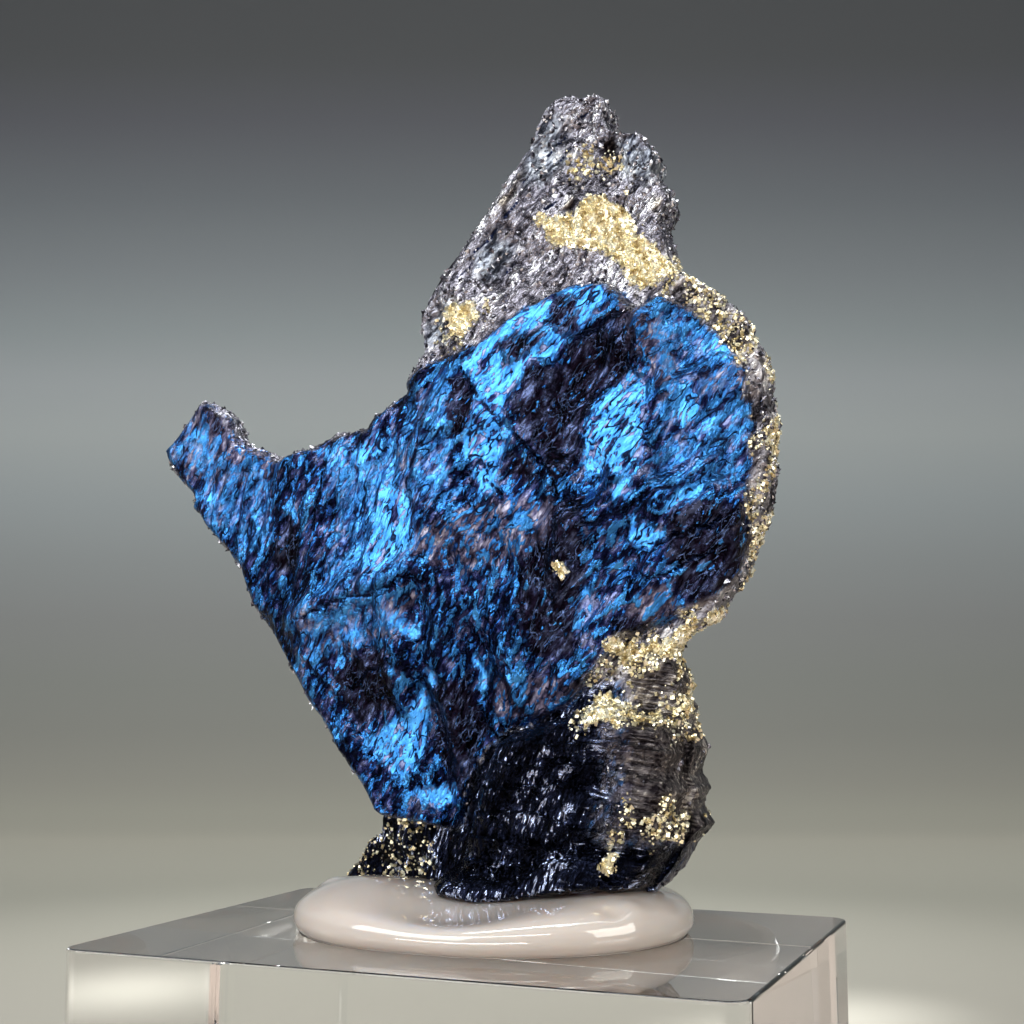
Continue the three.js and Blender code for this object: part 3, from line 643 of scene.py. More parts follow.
STREAKY_PAINTED_REFLECTION = [
    # places where half of the surface is azure streaks, painted reflections of the key light
    [(10.2, 45.2), (12.6, 44.6), (14.6, 42.6), (15.0, 38.6), (14.8, 35.6), (12.6, 35.4),
     (10.4, 34.4), (9.8, 36.6), (10.4, 39.8), (10.4, 42.6)],
    [(-10.4, 30.2), (-8.4, 29.4), (-5.6, 31.0), (-4.2, 28.8), (-7.4, 26.8), (-10.2, 27.0),
     (-11.4, 29.0)],
    [(-20.6, 39.2), (-18.4, 41.6), (-17.4, 40.6), (-17.0, 38.4), (-13.8, 37.4), (-13.0, 33.4),
     (-15.8, 32.8), (-18.6, 36.4)],
    [(-4.4, 40.8), (-1.4, 42.2), (-1.4, 35.8), (-3.4, 34.8), (-5.4, 35.8), (-5.0, 38.6)],
    [(-9.4, 39.0), (-7.2, 38.9), (-5.2, 39.4), (-4.0, 40.4), (-3.4, 39.0), (-4.6, 37.6),
     (-3.4, 36.6), (-3.1, 34.4), (-3.8, 31.8), (-5.3, 31.2), (-6.6, 29.1), (-8.4, 29.0),
     (-9.3, 31.6), (-8.5, 33.7), (-9.5, 36.7)],
]
SILVER_AND_PAINTED_GLINTS = [
    # pale bluish silver crust on the spire, and its glassy knobs on the right, with their glints
    # painted in
    [(2.0, 53.9), (2.9, 55.6), (3.9, 57.2), (4.8, 57.0), (4.4, 55.4), (5.2, 54.2), (3.8, 53.0),
     (2.2, 52.6)],
    [(7.6, 54.9), (8.8, 55.1), (9.9, 53.8), (10.0, 52.6), (9.2, 52.0), (8.2, 53.2)],
    [(-1.0, 49.6), (0.6, 50.6), (1.8, 49.8), (0.8, 47.9), (-1.0, 47.6)],
    [(-3.8, 45.8), (-2.6, 47.4), (-1.8, 46.8), (-2.8, 44.8), (-3.8, 44.4)],
]
HOLLOW_PAINTED_SHADE_AND_DARK_CRYSTALS = [
    # painted shade in the hollows of the spire, and its dark glassy crystals
    [(6.7, 55.0), (7.5, 55.3), (7.8, 54.5), (7.0, 54.2)],
    [(9.6, 51.9), (10.2, 51.6), (10.5, 51.0), (9.9, 50.6)],
    [(0.6, 52.3), (2.2, 54.2), (2.4, 53.4), (1.2, 51.7)],
    [(4.6, 51.6), (5.6, 52.2), (5.8, 51.2), (4.8, 50.9)],
    [(9.4, 48.0), (10.2, 47.8), (10.4, 47.0), (9.4, 46.9)],
]
SPARSE_PYRITE = [
    # single grains on the spire, at its left foot, on the neck and at the dark block's right
    [(4.6, 55.2), (6.8, 54.8), (8.0, 53.6), (8.4, 51.8), (6.0, 51.4), (4.8, 53.4)],
    [(-3.0, 47.0), (0.4, 47.2), (0.6, 45.8), (-1.4, 43.8), (-3.0, 44.6)],
    [(6.0, 27.6), (11.4, 28.4), (12.4, 25.0), (12.0, 22.4), (5.8, 22.6)],
    [(7.6, 19.4), (11.8, 19.6), (12.0, 17.0), (8.0, 16.9)],
]


def patches(x, z, outlines, ragged=0.3, soft=0.14):
    """1 inside any outline, 0 outside, with the border moved in and out by noise."""
    noise = crumple(x, z, 0.8, 1.5, 0.9, 0.6, 41) + crumple(x, z, 0.3, 1.8, 0.9, 0.5, 43)
    nearest = np.full(x.shape, 9.0)
    for outline in outlines:
        nearest = np.minimum(nearest, signed_distance(x, z, outline))
    return smooth_step(soft, -soft, nearest + ragged * noise)


def tints(x, z, depth):
    """Seven masks from 0 to 1, in the order of the last line; depth is behind the front edge."""
    within_blade = -signed_distance(x, z, BLADE)
    within_dark = -np.minimum(signed_distance(x, z, DARK_BLOCK), signed_distance(x, z, FOOT_LEDGE))
    noise = crumple(x, z, 0.5, 1.4, 0.7, 0.35, 47)
    on_blade = smooth_step(-0.1, 0.2, within_blade + noise) * smooth_step(0.5, 0.0, within_dark)
    low_left = smooth_step(18.8, 17.6, z) * smooth_step(1.0, 0.0, x)
    beside = np.maximum(low_left, smooth_step(-1.5, -0.7, within_dark))
    right_end = smooth_step(9.5, 7.0, x + 2 * noise)
    left_or_low = np.maximum(right_end, smooth_step(17.5, 16.7, z + noise))
    on_dark = np.maximum(smooth_step(-0.2, 0.3, within_dark + noise), beside * (1 - on_blade))
    on_dark = on_dark * left_or_low
    front = smooth_step(0.7, 0.3, depth)
    # the azure patches: the film's own azure, with the key light's reflection painted in
    azure_and_painted_reflection = np.maximum(patches(x, z, AZURE_FILM_AND_PAINTED_REFLECTION, 0.3, 0.2), 0.55 * patches(x, z, STREAKY_PAINTED_REFLECTION, 0.7, 0.5))
    # the silver crust, with its painted glints
    silver_and_painted_glints = 0.7 * patches(x, z, SILVER_AND_PAINTED_GLINTS, 0.6, 0.5) * (1 - on_blade)
    azure_and_painted_reflection = np.maximum(azure_and_painted_reflection * on_blade * front, silver_and_painted_glints)
    # the tarnish patches: the film's brown black, partly painted shade
    tarnish_and_painted_shade = patches(x, z, TARNISH_AND_PAINTED_SHADE, 0.3, 0.3) * on_blade * front
    azure_and_painted_reflection = azure_and_painted_reflection * (1 - 0.7 * tarnish_and_painted_shade)
    # painted shade of the spire's hollows, with its dark crystals
    tarnish_and_painted_shade = np.maximum(tarnish_and_painted_shade, patches(x, z, HOLLOW_PAINTED_SHADE_AND_DARK_CRYSTALS, 0.4, 0.25) * (1 - on_blade))
    crust = 1 - np.maximum(on_blade, on_dark) * (0.25 + 0.75 * front)
    rim = smooth_step(8.0, 11.5, x) * smooth_step(25.5, 28.5, z) * smooth_step(49.5, 47.5, z)
    lump = smooth_step(18.4, 17.0, z) * smooth_step(-2.2, -3.4, x)
    clumps = smooth_step(-0.35, 0.45, crumple(x + 0.6 * depth, z, 0.8, 1.3, 0.5, 1.0, 67))
    sparse = np.maximum(rim, patches(x, z, SPARSE_PYRITE, 0.8, 0.4))
    sparse = sparse * (1 - on_blade * front) * clumps
    neck = smooth_step(7.0, 9.0, x) * smooth_step(27.5, 26.0, z)
    solid = patches(x, z, PYRITE, 0.45) * smooth_step(3.0, 1.0, depth) * (1 - 0.62 * neck)
    gold = np.maximum(solid, np.maximum(0.38 * sparse, 0.2 * lump))
    dust = patches(x, z, DUST, 0.5, 0.3) * front * on_blade
    dust = np.maximum(dust, np.maximum(rim, neck) * crust)
    tarnish_and_painted_shade = np.maximum(tarnish_and_painted_shade, 0.8 * neck * crust)
    # the listed fine cracks, painted dark as shade in their grooves
    painted_crack_shade = fine_cracks(x, z) * (1 - on_dark) * front
    crust, gold, block = crust.clip(0, 1), gold.clip(0, 1), on_dark * front
    return np.stack([azure_and_painted_reflection, tarnish_and_painted_shade, crust, gold, dust, block, painted_crack_shade], axis=-1)


# %% [markdown]
# ## The specimen's mesh
# A fine square grid is laid over the outline. Points near the border are pulled onto it, cells
# outside are dropped, and the grid is used twice, for the front face and for the back. The border
# edges are joined through several layers of rim, so that the solid is closed.

# %% Grid inside the outline
STEP = 0.15
SNAP_SHARE = 0.88
RIM_LEVELS = np.linspace(-1, 1, 13)


def border_distance(x, z):
    """Distance to the outline, with the outline made jagged by shifting the point a little."""
    jag_x = crumple(x, z, 0.9, 1.0, 0.3, 0.13, 51) + crumple(x, z, 0.35, 1.0, 0.8, 0.06, 53)
    jag_z = crumple(x, z, 0.9, 1.0, 1.1, 0.13, 57) + crumple(x, z, 0.35, 1.0, 0.1, 0.06, 59)
    return signed_distance(x + jag_x, z + jag_z, OUTLINE)


def outward(x, z):
    """Direction in which the distance to the outline grows, from small differences."""
    tiny = 0.02
    grow_x = border_distance(x + tiny, z) - border_distance(x - tiny, z)
    grow_z = border_distance(x, z + tiny) - border_distance(x, z - tiny)
    length = np.maximum(np.hypot(grow_x, grow_z), 1e-9)
    return grow_x / length, grow_z / length


corners = np.array(OUTLINE)
low = corners.min(0) - 3 * STEP
high = corners.max(0) + 3 * STEP
grid_x, grid_z = np.meshgrid(np.arange(low[0], high[0], STEP), np.arange(low[1], high[1], STEP))
rows, columns = grid_x.shape
grid_x, grid_z = grid_x.ravel(), grid_z.ravel()
distance = border_distance(grid_x, grid_z)
near = np.abs(distance) < STEP / 2
push_x, push_z = outward(grid_x[near], grid_z[near])
grid_x[near] -= SNAP_SHARE * distance[near] * push_x
grid_z[near] -= SNAP_SHARE * distance[near] * push_z
side = np.where(near, 0, np.sign(distance))
print("grid of", rows, "by", columns, "points,", int((side <= 0).sum()), "used")

# %% Triangles of the front sheet
first = (np.arange(rows - 1)[:, None] * columns + np.arange(columns - 1)[None, :]).ravel()
cell = np.stack([first, first + 1, first + columns + 1, first + columns], axis=1)
used = side[cell] <= 0
flip = ((cell[:, 0] // columns + cell[:, 0] % columns) % 2 == 0)[:, None]
whole = used.all(1)
halves = [
    np.where(flip, cell[:, [0, 1, 2]], cell[:, [0, 1, 3]])[whole],
    np.where(flip, cell[:, [0, 2, 3]], cell[:, [1, 2, 3]])[whole],
]
three = used.sum(1) == 3
thirds = [np.delete(cell, k, axis=1)[three & ~used[:, k]] for k in range(4)]
triangles = np.concatenate(halves + thirds)
touches_inside = (side[triangles] < 0).any(1) | (distance[triangles].sum(1) < 0)
triangles = triangles[touches_inside]

edges = np.concatenate([triangles[:, [0, 1]], triangles[:, [1, 2]], triangles[:, [2, 0]]])
total = rows * columns
forwards = edges[:, 0] * total + edges[:, 1]
backwards = edges[:, 1] * total + edges[:, 0]
border_edges = edges[~np.isin(forwards, backwards)]
print(len(triangles), "triangles in the front sheet,", len(border_edges), "edges round it")

# %% Front, rim and back joined into one closed surface
kept, triangles = np.unique(triangles, return_inverse=True)
triangles = triangles.reshape(-1, 3)
border_edges = np.searchsorted(kept, border_edges)
x, z = grid_x[kept], grid_z[kept]
border = np.unique(border_edges)
inside = np.maximum(0, -border_distance(x, z))
inside[border] = 0
middle = middle_surface(x, z)
front_y = middle - front_height(x, z, inside)
back_y = middle + back_height(x, z, inside)

count = len(x)
layers = [np.stack([x, front_y, z], axis=1)]
bx, bz = x[border], z[border]
out_x, out_z = outward(bx, bz)
for level in RIM_LEVELS[1:-1]:
    reach = -front_y[border] + middle[border] if level < 0 else back_y[border] - middle[border]
    depth = middle[border] + level * reach
    along_rim = 0.8 * bx + 1.2 * bz
    rough = crumple(along_rim, depth, 0.7, 1.0, 0.5, 0.14, 61)
    rough += crumple(along_rim, depth, 0.3, 1.0, 0.2, 0.07, 63)
    bulge = edge_half(bx, "front") * 0.12 * (1 - level**2) + rough * (1 - level**4)
    layers.append(np.stack([bx + bulge * out_x, depth, bz + bulge * out_z], axis=1))
layers.append(np.stack([x, back_y, z], axis=1))
points = np.concatenate(layers)

place = np.zeros(count, int)
place[border] = np.arange(len(border))
ring_starts = [count + k * len(border) for k in range(len(RIM_LEVELS) - 2)]
back_start = count + len(ring_starts) * len(border)
start_edge, end_edge = border_edges.T
rings = [border] + [start + np.arange(len(border)) for start in ring_starts] + [back_start + border]
faces = [triangles, triangles[:, ::-1] + back_start]
for this, following in zip(rings, rings[1:]):
    a, b = this[place[start_edge]], this[place[end_edge]]
    c, d = following[place[start_edge]], following[place[end_edge]]
    faces += [np.stack([b, a, c], axis=1), np.stack([b, c, d], axis=1)]
faces = np.concatenate(faces)
print(len(points), "points and", len(faces), "triangles in the closed surface")


# %% [markdown]
# ## Wrinkled foil in a node group
# Below the size of the mesh's own faces the mineral still breaks into crooked little mirrors. A
# noise is stretched along the wrinkles, and everything above a given level is a bright streak, so
# a low level leaves only dark cracks and a high level leaves only a few bright lines. On the
# specimen the bright streaks are painted highlights and the dark cracks painted shade. Voronoi
# cells on the same coordinates tilt the surface. The blade, the crust and the grains use it.

# %% Node group for wrinkles
def foil_group():
    """Tilted normal, height, streaks with crisp borders, slow tone, cracks, a number per cell."""
    group = bpy.data.node_groups.new("wrinkled_foil", "ShaderNodeTree")
    sockets = [("INPUT", name) for name in ("Vector", "Level", "Tilt")]
    results = ("Normal", "Height", "Streak", "Tone", "Crack", "Facet")
    sockets += [("OUTPUT", name) for name in results]
    for way, name in sockets:
        kind = "NodeSocketVector" if name in ("Vector", "Normal") else "NodeSocketFloat"
        group.interface.new_socket(name, in_out=way, socket_type=kind)

    def vector_math(operation, first, second=None, by=None):
        given = {0: first, 1: second, "Scale": by}
        inputs = {key: value for key, value in given.items() if value is not None}
        return node(group, "ShaderNodeVectorMath", inputs, operation=operation).outputs[0]

    def noise(vector, scale, detail):
        inputs = {"Vector": vector, "Scale": scale, "Detail": detail, "Roughness": 0.5}
        return node(group, "ShaderNodeTexNoise", inputs).outputs

    def edge(value, low, high):
        inputs = {"Value": value, "From Min": low, "From Max": high}
        return node(group, "ShaderNodeMapRange", inputs, interpolation_type="SMOOTHSTEP").outputs[0]

    def maths(operation, first, second=0.5):
        return node(group, "ShaderNodeMath", {0: first, 1: second}, operation=operation).outputs[0]

    source = node(group, "NodeGroupInput").outputs
    shift = vector_math("SUBTRACT", noise(source["Vector"], 0.7, 2.0)["Color"], (0.5, 0.5, 0.5))
    crooked = vector_math("ADD", source["Vector"], vector_math("SCALE", shift, by=0.7))
    height = noise(crooked, 0.9, 2.0)["Fac"]
    level = source["Level"]
    streak = edge(height, maths("SUBTRACT", level, 0.022), maths("ADD", level, 0.022))
    from_middle = maths("ABSOLUTE", maths("SUBTRACT", noise(crooked, 0.75, 1.0)["Fac"]))
    crack = edge(from_middle, 0.004, 0.03)
    tone = edge(noise(vector_math("ADD", crooked, (7.3, 2.9, 5.1)), 0.6, 2.0)["Fac"], 0.34, 0.66)
    cells = node(group, "ShaderNodeTexVoronoi", {"Vector": crooked, "Scale": 0.7})
    facet = node(group, "ShaderNodeSeparateColor", {"Color": cells.outputs["Color"]}).outputs[0]
    lean = vector_math("SUBTRACT", cells.outputs["Color"], (0.5, 0.5, 0.5))
    lean = vector_math("SCALE", lean, by=source["Tilt"])
    turned = vector_math("ADD", node(group, "ShaderNodeNewGeometry").outputs["Normal"], lean)
    unit = vector_math("NORMALIZE", turned)
    outputs = {"Normal": unit, "Height": height, "Streak": streak, "Tone": tone, "Crack": crack}
    node(group, "NodeGroupOutput", outputs | {"Facet": facet})
    return group


FOIL_GROUP = foil_group()


def foil(tree, length, width, degrees, tilt, level=0.5):
    """The foil group on islands of a given length and width in millimetres, at an angle."""
    place = node(tree, "ShaderNodeTexCoord")
    lined_up = node(
        tree,
        "ShaderNodeMapping",
        {
            "Vector": place.outputs["Object"],
            "Rotation": (0, -math.radians(degrees), 0),
            "Scale": (length * MM, width * MM, width * MM),
        },
        vector_type="TEXTURE",
    )
    made = node(tree, "ShaderNodeGroup", node_tree=FOIL_GROUP)
    for name, value in (("Vector", lined_up.outputs[0]), ("Tilt", tilt), ("Level", level)):
        if isinstance(value, bpy.types.NodeSocket):
            tree.links.new(value, made.inputs[name])
        else:
            made.inputs[name].default_value = value
    return made.outputs


def blend_normals(tree, factor, first, second):
    """Blends two normals and brings the result back to length one."""
    both = node(tree, "ShaderNodeMix", {0: factor, 4: first, 5: second}, data_type="VECTOR")
    unit = node(tree, "ShaderNodeVectorMath", {0: both.outputs[1]}, operation="NORMALIZE")
    return unit.outputs[0]


def times_plus(tree, value, factor, added):
    """value x factor + added, for numbers or sockets."""
    inputs = {0: value, 1: factor, 2: added}
    return node(tree, "ShaderNodeMath", inputs, operation="MULTIPLY_ADD").outputs[0]


# %% [markdown]
# ## The blue metallic finish
# Covellite reflects like a metal whose colour is deep blue, and a film of tarnish shifts it to
# azure or to a brown black. The mesh's own attributes push the tone up or down, so that a bright
# patch is azure with a few dark streaks and a dull one is navy with a few bright streaks. The
# bright streaks and patches are partly the film's own azure and partly the key light's
# reflection painted into the colour, and the dark cracks and dull patches partly painted shade.
# Where the film is azure, its small steps are parallel, so the normal leans towards one fixed
# way, and the whole patch mirrors the key light at once.

# %% Covellite material
# partly the film's own azure, partly the key light's painted reflection
BRIGHT_FILM_AND_PAINTED_REFLECTION = [
    (0.0, (0.009, 0.036, 0.14)), (0.3, (0.024, 0.12, 0.37)), (0.6, (0.040, 0.215, 0.57)),
    (1.0, (0.075, 0.325, 0.74)),
]
DEEP = [
    (0.0, (0.001, 0.001, 0.004)), (0.45, (0.005, 0.007, 0.032)), (0.72, (0.035, 0.044, 0.13)),
    (1.0, (0.17, 0.20, 0.36)),
]
# the tarnish's brown black, partly painted shade
TARNISHED_AND_PAINTED_SHADE = [
    (0.0, (0.001, 0.001, 0.002)), (0.45, (0.006, 0.004, 0.010)), (0.75, (0.022, 0.025, 0.055)),
    (1.0, (0.09, 0.12, 0.24)),
]
DUSTY = [
    (0.0, (0.018, 0.013, 0.028)), (0.4, (0.078, 0.068, 0.115)), (0.75, (0.175, 0.165, 0.25)),
    (1.0, (0.42, 0.42, 0.54)),
]
CRUST = [
    (0.0, (0.03, 0.03, 0.04)), (0.18, (0.07, 0.068, 0.088)), (0.3, (0.18, 0.175, 0.215)),
    (0.6, (0.31, 0.305, 0.355)), (0.78, (0.50, 0.50, 0.56)), (1.0, (0.86, 0.88, 0.92)),
]
# pale crust tones that rise to painted white glints
SILVERY_AND_PAINTED_GLINTS = [
    (0.0, (0.008, 0.012, 0.018)), (0.25, (0.035, 0.045, 0.062)), (0.4, (0.14, 0.17, 0.21)),
    (0.65, (0.36, 0.41, 0.47)), (1.0, (0.97, 1.0, 1.0)),
]
DARK_ROCK = [
    (0.0, (0.003, 0.002, 0.003)), (0.3, (0.008, 0.006, 0.007)), (0.48, (0.030, 0.024, 0.022)),
    (0.72, (0.075, 0.062, 0.055)), (1.0, (0.46, 0.42, 0.37)),
]
RIM_ROCK = [
    (0.0, (0.02, 0.018, 0.022)), (0.25, (0.045, 0.04, 0.048)), (0.4, (0.16, 0.15, 0.17)),
    (0.7, (0.32, 0.31, 0.34)), (1.0, (0.84, 0.82, 0.82)),
]
BLOCK_ROCK = [
    (0.0, (0.002, 0.002, 0.004)), (0.45, (0.006, 0.008, 0.018)), (0.75, (0.020, 0.024, 0.055)),
    (1.0, (0.080, 0.095, 0.18)),
]
# painted highlight: the colour of the dark block's small glints
PAINTED_GLINT_COLOUR = (0.48, 0.56, 0.80, 1)
GOLD = [(0.0, (0.64, 0.54, 0.32)), (0.35, (0.92, 0.84, 0.58)), (1.0, (1.0, 0.97, 0.80))]
# painted shade: the near-black of the thin cracks
PAINTED_CRACK_SHADE = (0.006, 0.010, 0.032, 1)
# painted highlight: in tarnished places the cracks are pale lines
PAINTED_VEIN_HIGHLIGHT = (0.08, 0.12, 0.25, 1)  # in tarnished places the cracks are paler than the rest
CLEAVAGE = (-0.045, -0.975, 0.215)  # the way that the film's small parallel steps face
# a higher level leaves fewer streaks
STREAK_LEVELS = {"blade": 0.56, "azure_and_painted_reflection": -0.18, "tarnish_and_painted_shade": 0.12, "dust": 0.02}


def covellite_material():
    material, tree, shader = new_material("covellite_metal")
    tint = node(tree, "ShaderNodeAttribute", attribute_name="tint")
    mask = node(tree, "ShaderNodeSeparateColor", {"Color": tint.outputs["Color"]}).outputs
    dust, lean, dark_block, painted_crack_shade = (
        node(tree, "ShaderNodeAttribute", attribute_name=name).outputs["Fac"]
        for name in ("dust", "lean", "block", "painted_crack_shade")
    )

    def between(value, low, high):
        inputs = {"Value": value, "From Min": low, "From Max": high}
        return node(tree, "ShaderNodeMapRange", inputs).outputs[0]

    def maths(operation, first, second):
        return node(tree, "ShaderNodeMath", {0: first, 1: second}, operation=operation).outputs[0]

    # the streaks, painted reflections of the key light: where the film is azure both sizes must be
    # bright, elsewhere either is enough
    level = times_plus(tree, mask["Red"], STREAK_LEVELS["azure_and_painted_reflection"], STREAK_LEVELS["blade"])
    level = times_plus(tree, mask["Green"], STREAK_LEVELS["tarnish_and_painted_shade"], level)
    level = times_plus(tree, dust, STREAK_LEVELS["dust"], level)
    steep, slanted = foil(tree, 1.15, 0.44, 72, 0.4, level), foil(tree, 1.15, 0.46, 42, 0.4, level)
    fine = foil(tree, 0.55, 0.2, 58, 0.45, times_plus(tree, mask["Red"], 0.02, level))
    chosen = between(lean, 0.4, 0.6)
    streak = mix_number(tree, chosen, steep["Streak"], slanted["Streak"])
    either = maths("MAXIMUM", streak, fine["Streak"])
    both = maths("MULTIPLY", streak, fine["Streak"])
    streak = mix_number(tree, mask["Red"], either, both)

    # the film's colours, with the key light's reflection painted into the bright streaks
    slow_tone = mix_number(tree, chosen, steep["Tone"], slanted["Tone"])
    tone = mix_number(tree, 0.5, slow_tone, fine["Tone"])
    height = mix_number(tree, chosen, steep["Height"], slanted["Height"])
    # painted reflection: the bright ramp is raised on the azure patches, and cell by cell at random
    shine = times_plus(tree, mask["Red"], 0.32, times_plus(tree, tone, 0.35, -0.80))
    shine = times_plus(tree, fine["Facet"], 0.45, shine)
    film_and_painted_reflection = ramp(tree, times_plus(tree, height, 1.55, shine), BRIGHT_FILM_AND_PAINTED_REFLECTION)
    hazy_tone = times_plus(tree, mask["Red"], 0.3, tone)
    dark = mix_colour(tree, mask["Green"], ramp(tree, hazy_tone, DEEP), ramp(tree, tone, TARNISHED_AND_PAINTED_SHADE))
    dusty_share = times_plus(tree, dust, times_plus(tree, fine["Tone"], 1.0, 0.3), 0.0)
    dark = mix_colour(tree, dusty_share, dark, ramp(tree, tone, DUSTY))
    colour = mix_colour(tree, streak, dark, film_and_painted_reflection)
    crack = mix_number(tree, chosen, steep["Crack"], slanted["Crack"])
    # the cracks are painted: dark shade in the azure film, pale highlight lines where it is
    # tarnished
    painted_crack_light = mix_colour(tree, mask["Green"], PAINTED_CRACK_SHADE, PAINTED_VEIN_HIGHLIGHT)
    fine_crack = maths("MAXIMUM", fine["Crack"], maths("MAXIMUM", mask["Red"], 0.4))
    crack_share = maths("MULTIPLY", crack, fine_crack)
    crack_share = maths("MAXIMUM", crack_share, between(slow_tone, 0.3, 0.6))
    colour = mix_colour(tree, crack_share, painted_crack_light, colour)

    # the dark block: glassy black, with painted glints, steep on its left and in level bands on its
    # right
    flakes = foil(tree, 1.4, 0.6, 58, 0.5)
    painted_glint_level = times_plus(tree, maths("MULTIPLY", flakes["Tone"], flakes["Tone"]), -0.2, 0.725)
    glints = foil(tree, 0.65, 0.13, 70, 0.7, painted_glint_level)
    bands = foil(tree, 1.3, 0.15, -7, 0.5, painted_glint_level)
    place = node(tree, "ShaderNodeTexCoord").outputs["Object"]
    across = node(tree, "ShaderNodeSeparateXYZ", {0: place}).outputs[0]
    level_bands = between(times_plus(tree, flakes["Tone"], 1.5 * MM, across), 6.6 * MM, 8.4 * MM)
    painted_glint = mix_number(tree, level_bands, glints["Streak"], bands["Streak"])
    gloss = mix_number(tree, level_bands, glints["Height"], bands["Height"])
    # painted sheen: the block's black grows paler towards the painted glints
    gloss = times_plus(tree, gloss, 1.8, times_plus(tree, flakes["Tone"], 0.5, -0.75))
    black = mix_colour(tree, painted_glint, ramp(tree, gloss, BLOCK_ROCK), PAINTED_GLINT_COLOUR)
    colour = mix_colour(tree, dark_block, colour, black)

    # crust, dark rock and the rim's rock: flakes with dark gaps, and specks on them; the tone
    # follows the flakes' heights, so shade in the gaps and glints on the tops are painted
    specks = foil(tree, 0.5, 0.22, 30, 0.4)
    plates = foil(tree, 1.3, 0.4, 58, 0.35)
    slow = foil(tree, 3.6, 1.5, 50, 0.0)["Tone"]
    grain = mix_number(tree, 0.42, plates["Height"], specks["Height"])
    banded_share = maths("MULTIPLY", mask["Green"], times_plus(tree, dust, 0.6, 0.0))
    grain = mix_number(tree, banded_share, grain, bands["Height"])
    shade = times_plus(tree, slow, 0.3, times_plus(tree, flakes["Tone"], 0.22, -1.2))
    # painted shade and glints: the crust's own greys, darker low and paler high on the flakes
    grit_tone_and_painted_light = times_plus(tree, grain, 2.9, shade)
    grit, silvery_and_painted_glints = ramp(tree, grit_tone_and_painted_light, CRUST), ramp(tree, grit_tone_and_painted_light, SILVERY_AND_PAINTED_GLINTS)
    grit = mix_colour(tree, mask["Red"], grit, silvery_and_painted_glints)
    grit = mix_colour(tree, dust, grit, ramp(tree, grit_tone_and_painted_light, RIM_ROCK))
    grit = mix_colour(tree, mask["Green"], grit, ramp(tree, grit_tone_and_painted_light, DARK_ROCK))
    colour = mix_colour(tree, mask["Blue"], colour, grit)
    # painted shade along the listed fine cracks
    broken = times_plus(tree, fine["Tone"], 0.5, painted_crack_shade)
    colour = mix_colour(tree, between(broken, 0.75, 1.05), colour, PAINTED_CRACK_SHADE)
    solid_gold = between(tint.outputs["Alpha"], 0.6, 0.9)
    colour = mix_colour(tree, solid_gold, colour, ramp(tree, specks["Tone"], GOLD))
    tree.links.new(colour, shader.inputs["Base Color"])

    # the tilted normals and the small bumps
    large = blend_normals(tree, chosen, steep["Normal"], slanted["Normal"])
    islands = blend_normals(tree, 0.35, large, fine["Normal"])
    ways = {"vector_type": "NORMAL", "convert_from": "OBJECT", "convert_to": "WORLD"}
    cleavage = node(tree, "ShaderNodeVectorTransform", {0: CLEAVAGE}, **ways).outputs[0]
    islands = blend_normals(tree, maths("MULTIPLY", mask["Red"], 0.7), islands, cleavage)
    stony = blend_normals(tree, 0.5, specks["Normal"], plates["Normal"])
    banded = blend_normals(tree, level_bands, glints["Normal"], bands["Normal"])
    islands = blend_normals(tree, dark_block, islands, banded)
    rubble = blend_normals(tree, mask["Blue"], islands, stony)
    height = mix_number(tree, 0.4, height, fine["Height"])
    height = mix_number(tree, mask["Blue"], height, grain)
    height = maths("MULTIPLY", height, times_plus(tree, mask["Red"], -3.5, 6.0))
    height = maths("ADD", height, times_plus(tree, streak, 0.6, crack_share))
    bump = node(tree, "ShaderNodeBump", {"Height": height, "Normal": rubble, "Distance": 0.05 * MM})
    tree.links.new(bump.outputs[0], shader.inputs["Normal"])
    roughness = times_plus(tree, mask["Red"], 0.05, times_plus(tree, dust, 0.15, 0.27))
    roughness = times_plus(tree, dark_block, -0.07, roughness)
    tree.links.new(roughness, shader.inputs["Roughness"])
    shader.inputs["Metallic"].default_value = 1.0
    return material


COVELLITE = covellite_material()


def paint(obj, values):
    """Stores the patches of colour and painted light and the lean of the islands as attributes of
    the points.
    """
    co = np.empty(len(obj.data.vertices) * 3)
    obj.data.vertices.foreach_get("co", co)
    px, _, pz = co.reshape(-1, 3).T / MM
    tint = obj.data.attributes.new("tint", "FLOAT_COLOR", "POINT")
    tint.data.foreach_set("color", values[:, :4].astype(np.float32).ravel())
    weights = flow_weights(px, pz)
    leans = weights[1] + weights[2] + weights[5]
    single = {"dust": values[:, 4], "lean": leans, "block": values[:, 5], "painted_crack_shade": values[:, 6]}
    for name, number in single.items():
        attribute = obj.data.attributes.new(name, "FLOAT", "POINT")
        attribute.data.foreach_set("value", number.astype(np.float32))


specimen = make_mesh("specimen_body", points, faces, COVELLITE)
px, py, pz = points.T
behind_edge = py - (middle_surface(px, pz) - edge_half(px, "front"))
specimen_tints = tints(px, pz, behind_edge)
paint(specimen, specimen_tints)
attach(specimen, "root")
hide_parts("covellite_specimen")


# %% [markdown]
# ## Grains that grow on the specimen
# Pyrite grows as tiny cubes, and the crust glitters because it is made of broken grains. Points
# are drawn at random on the surface, more often where a patch is strong, and a small solid is set
# at each, turned at random and sunk half way in. All of it is one array operation.

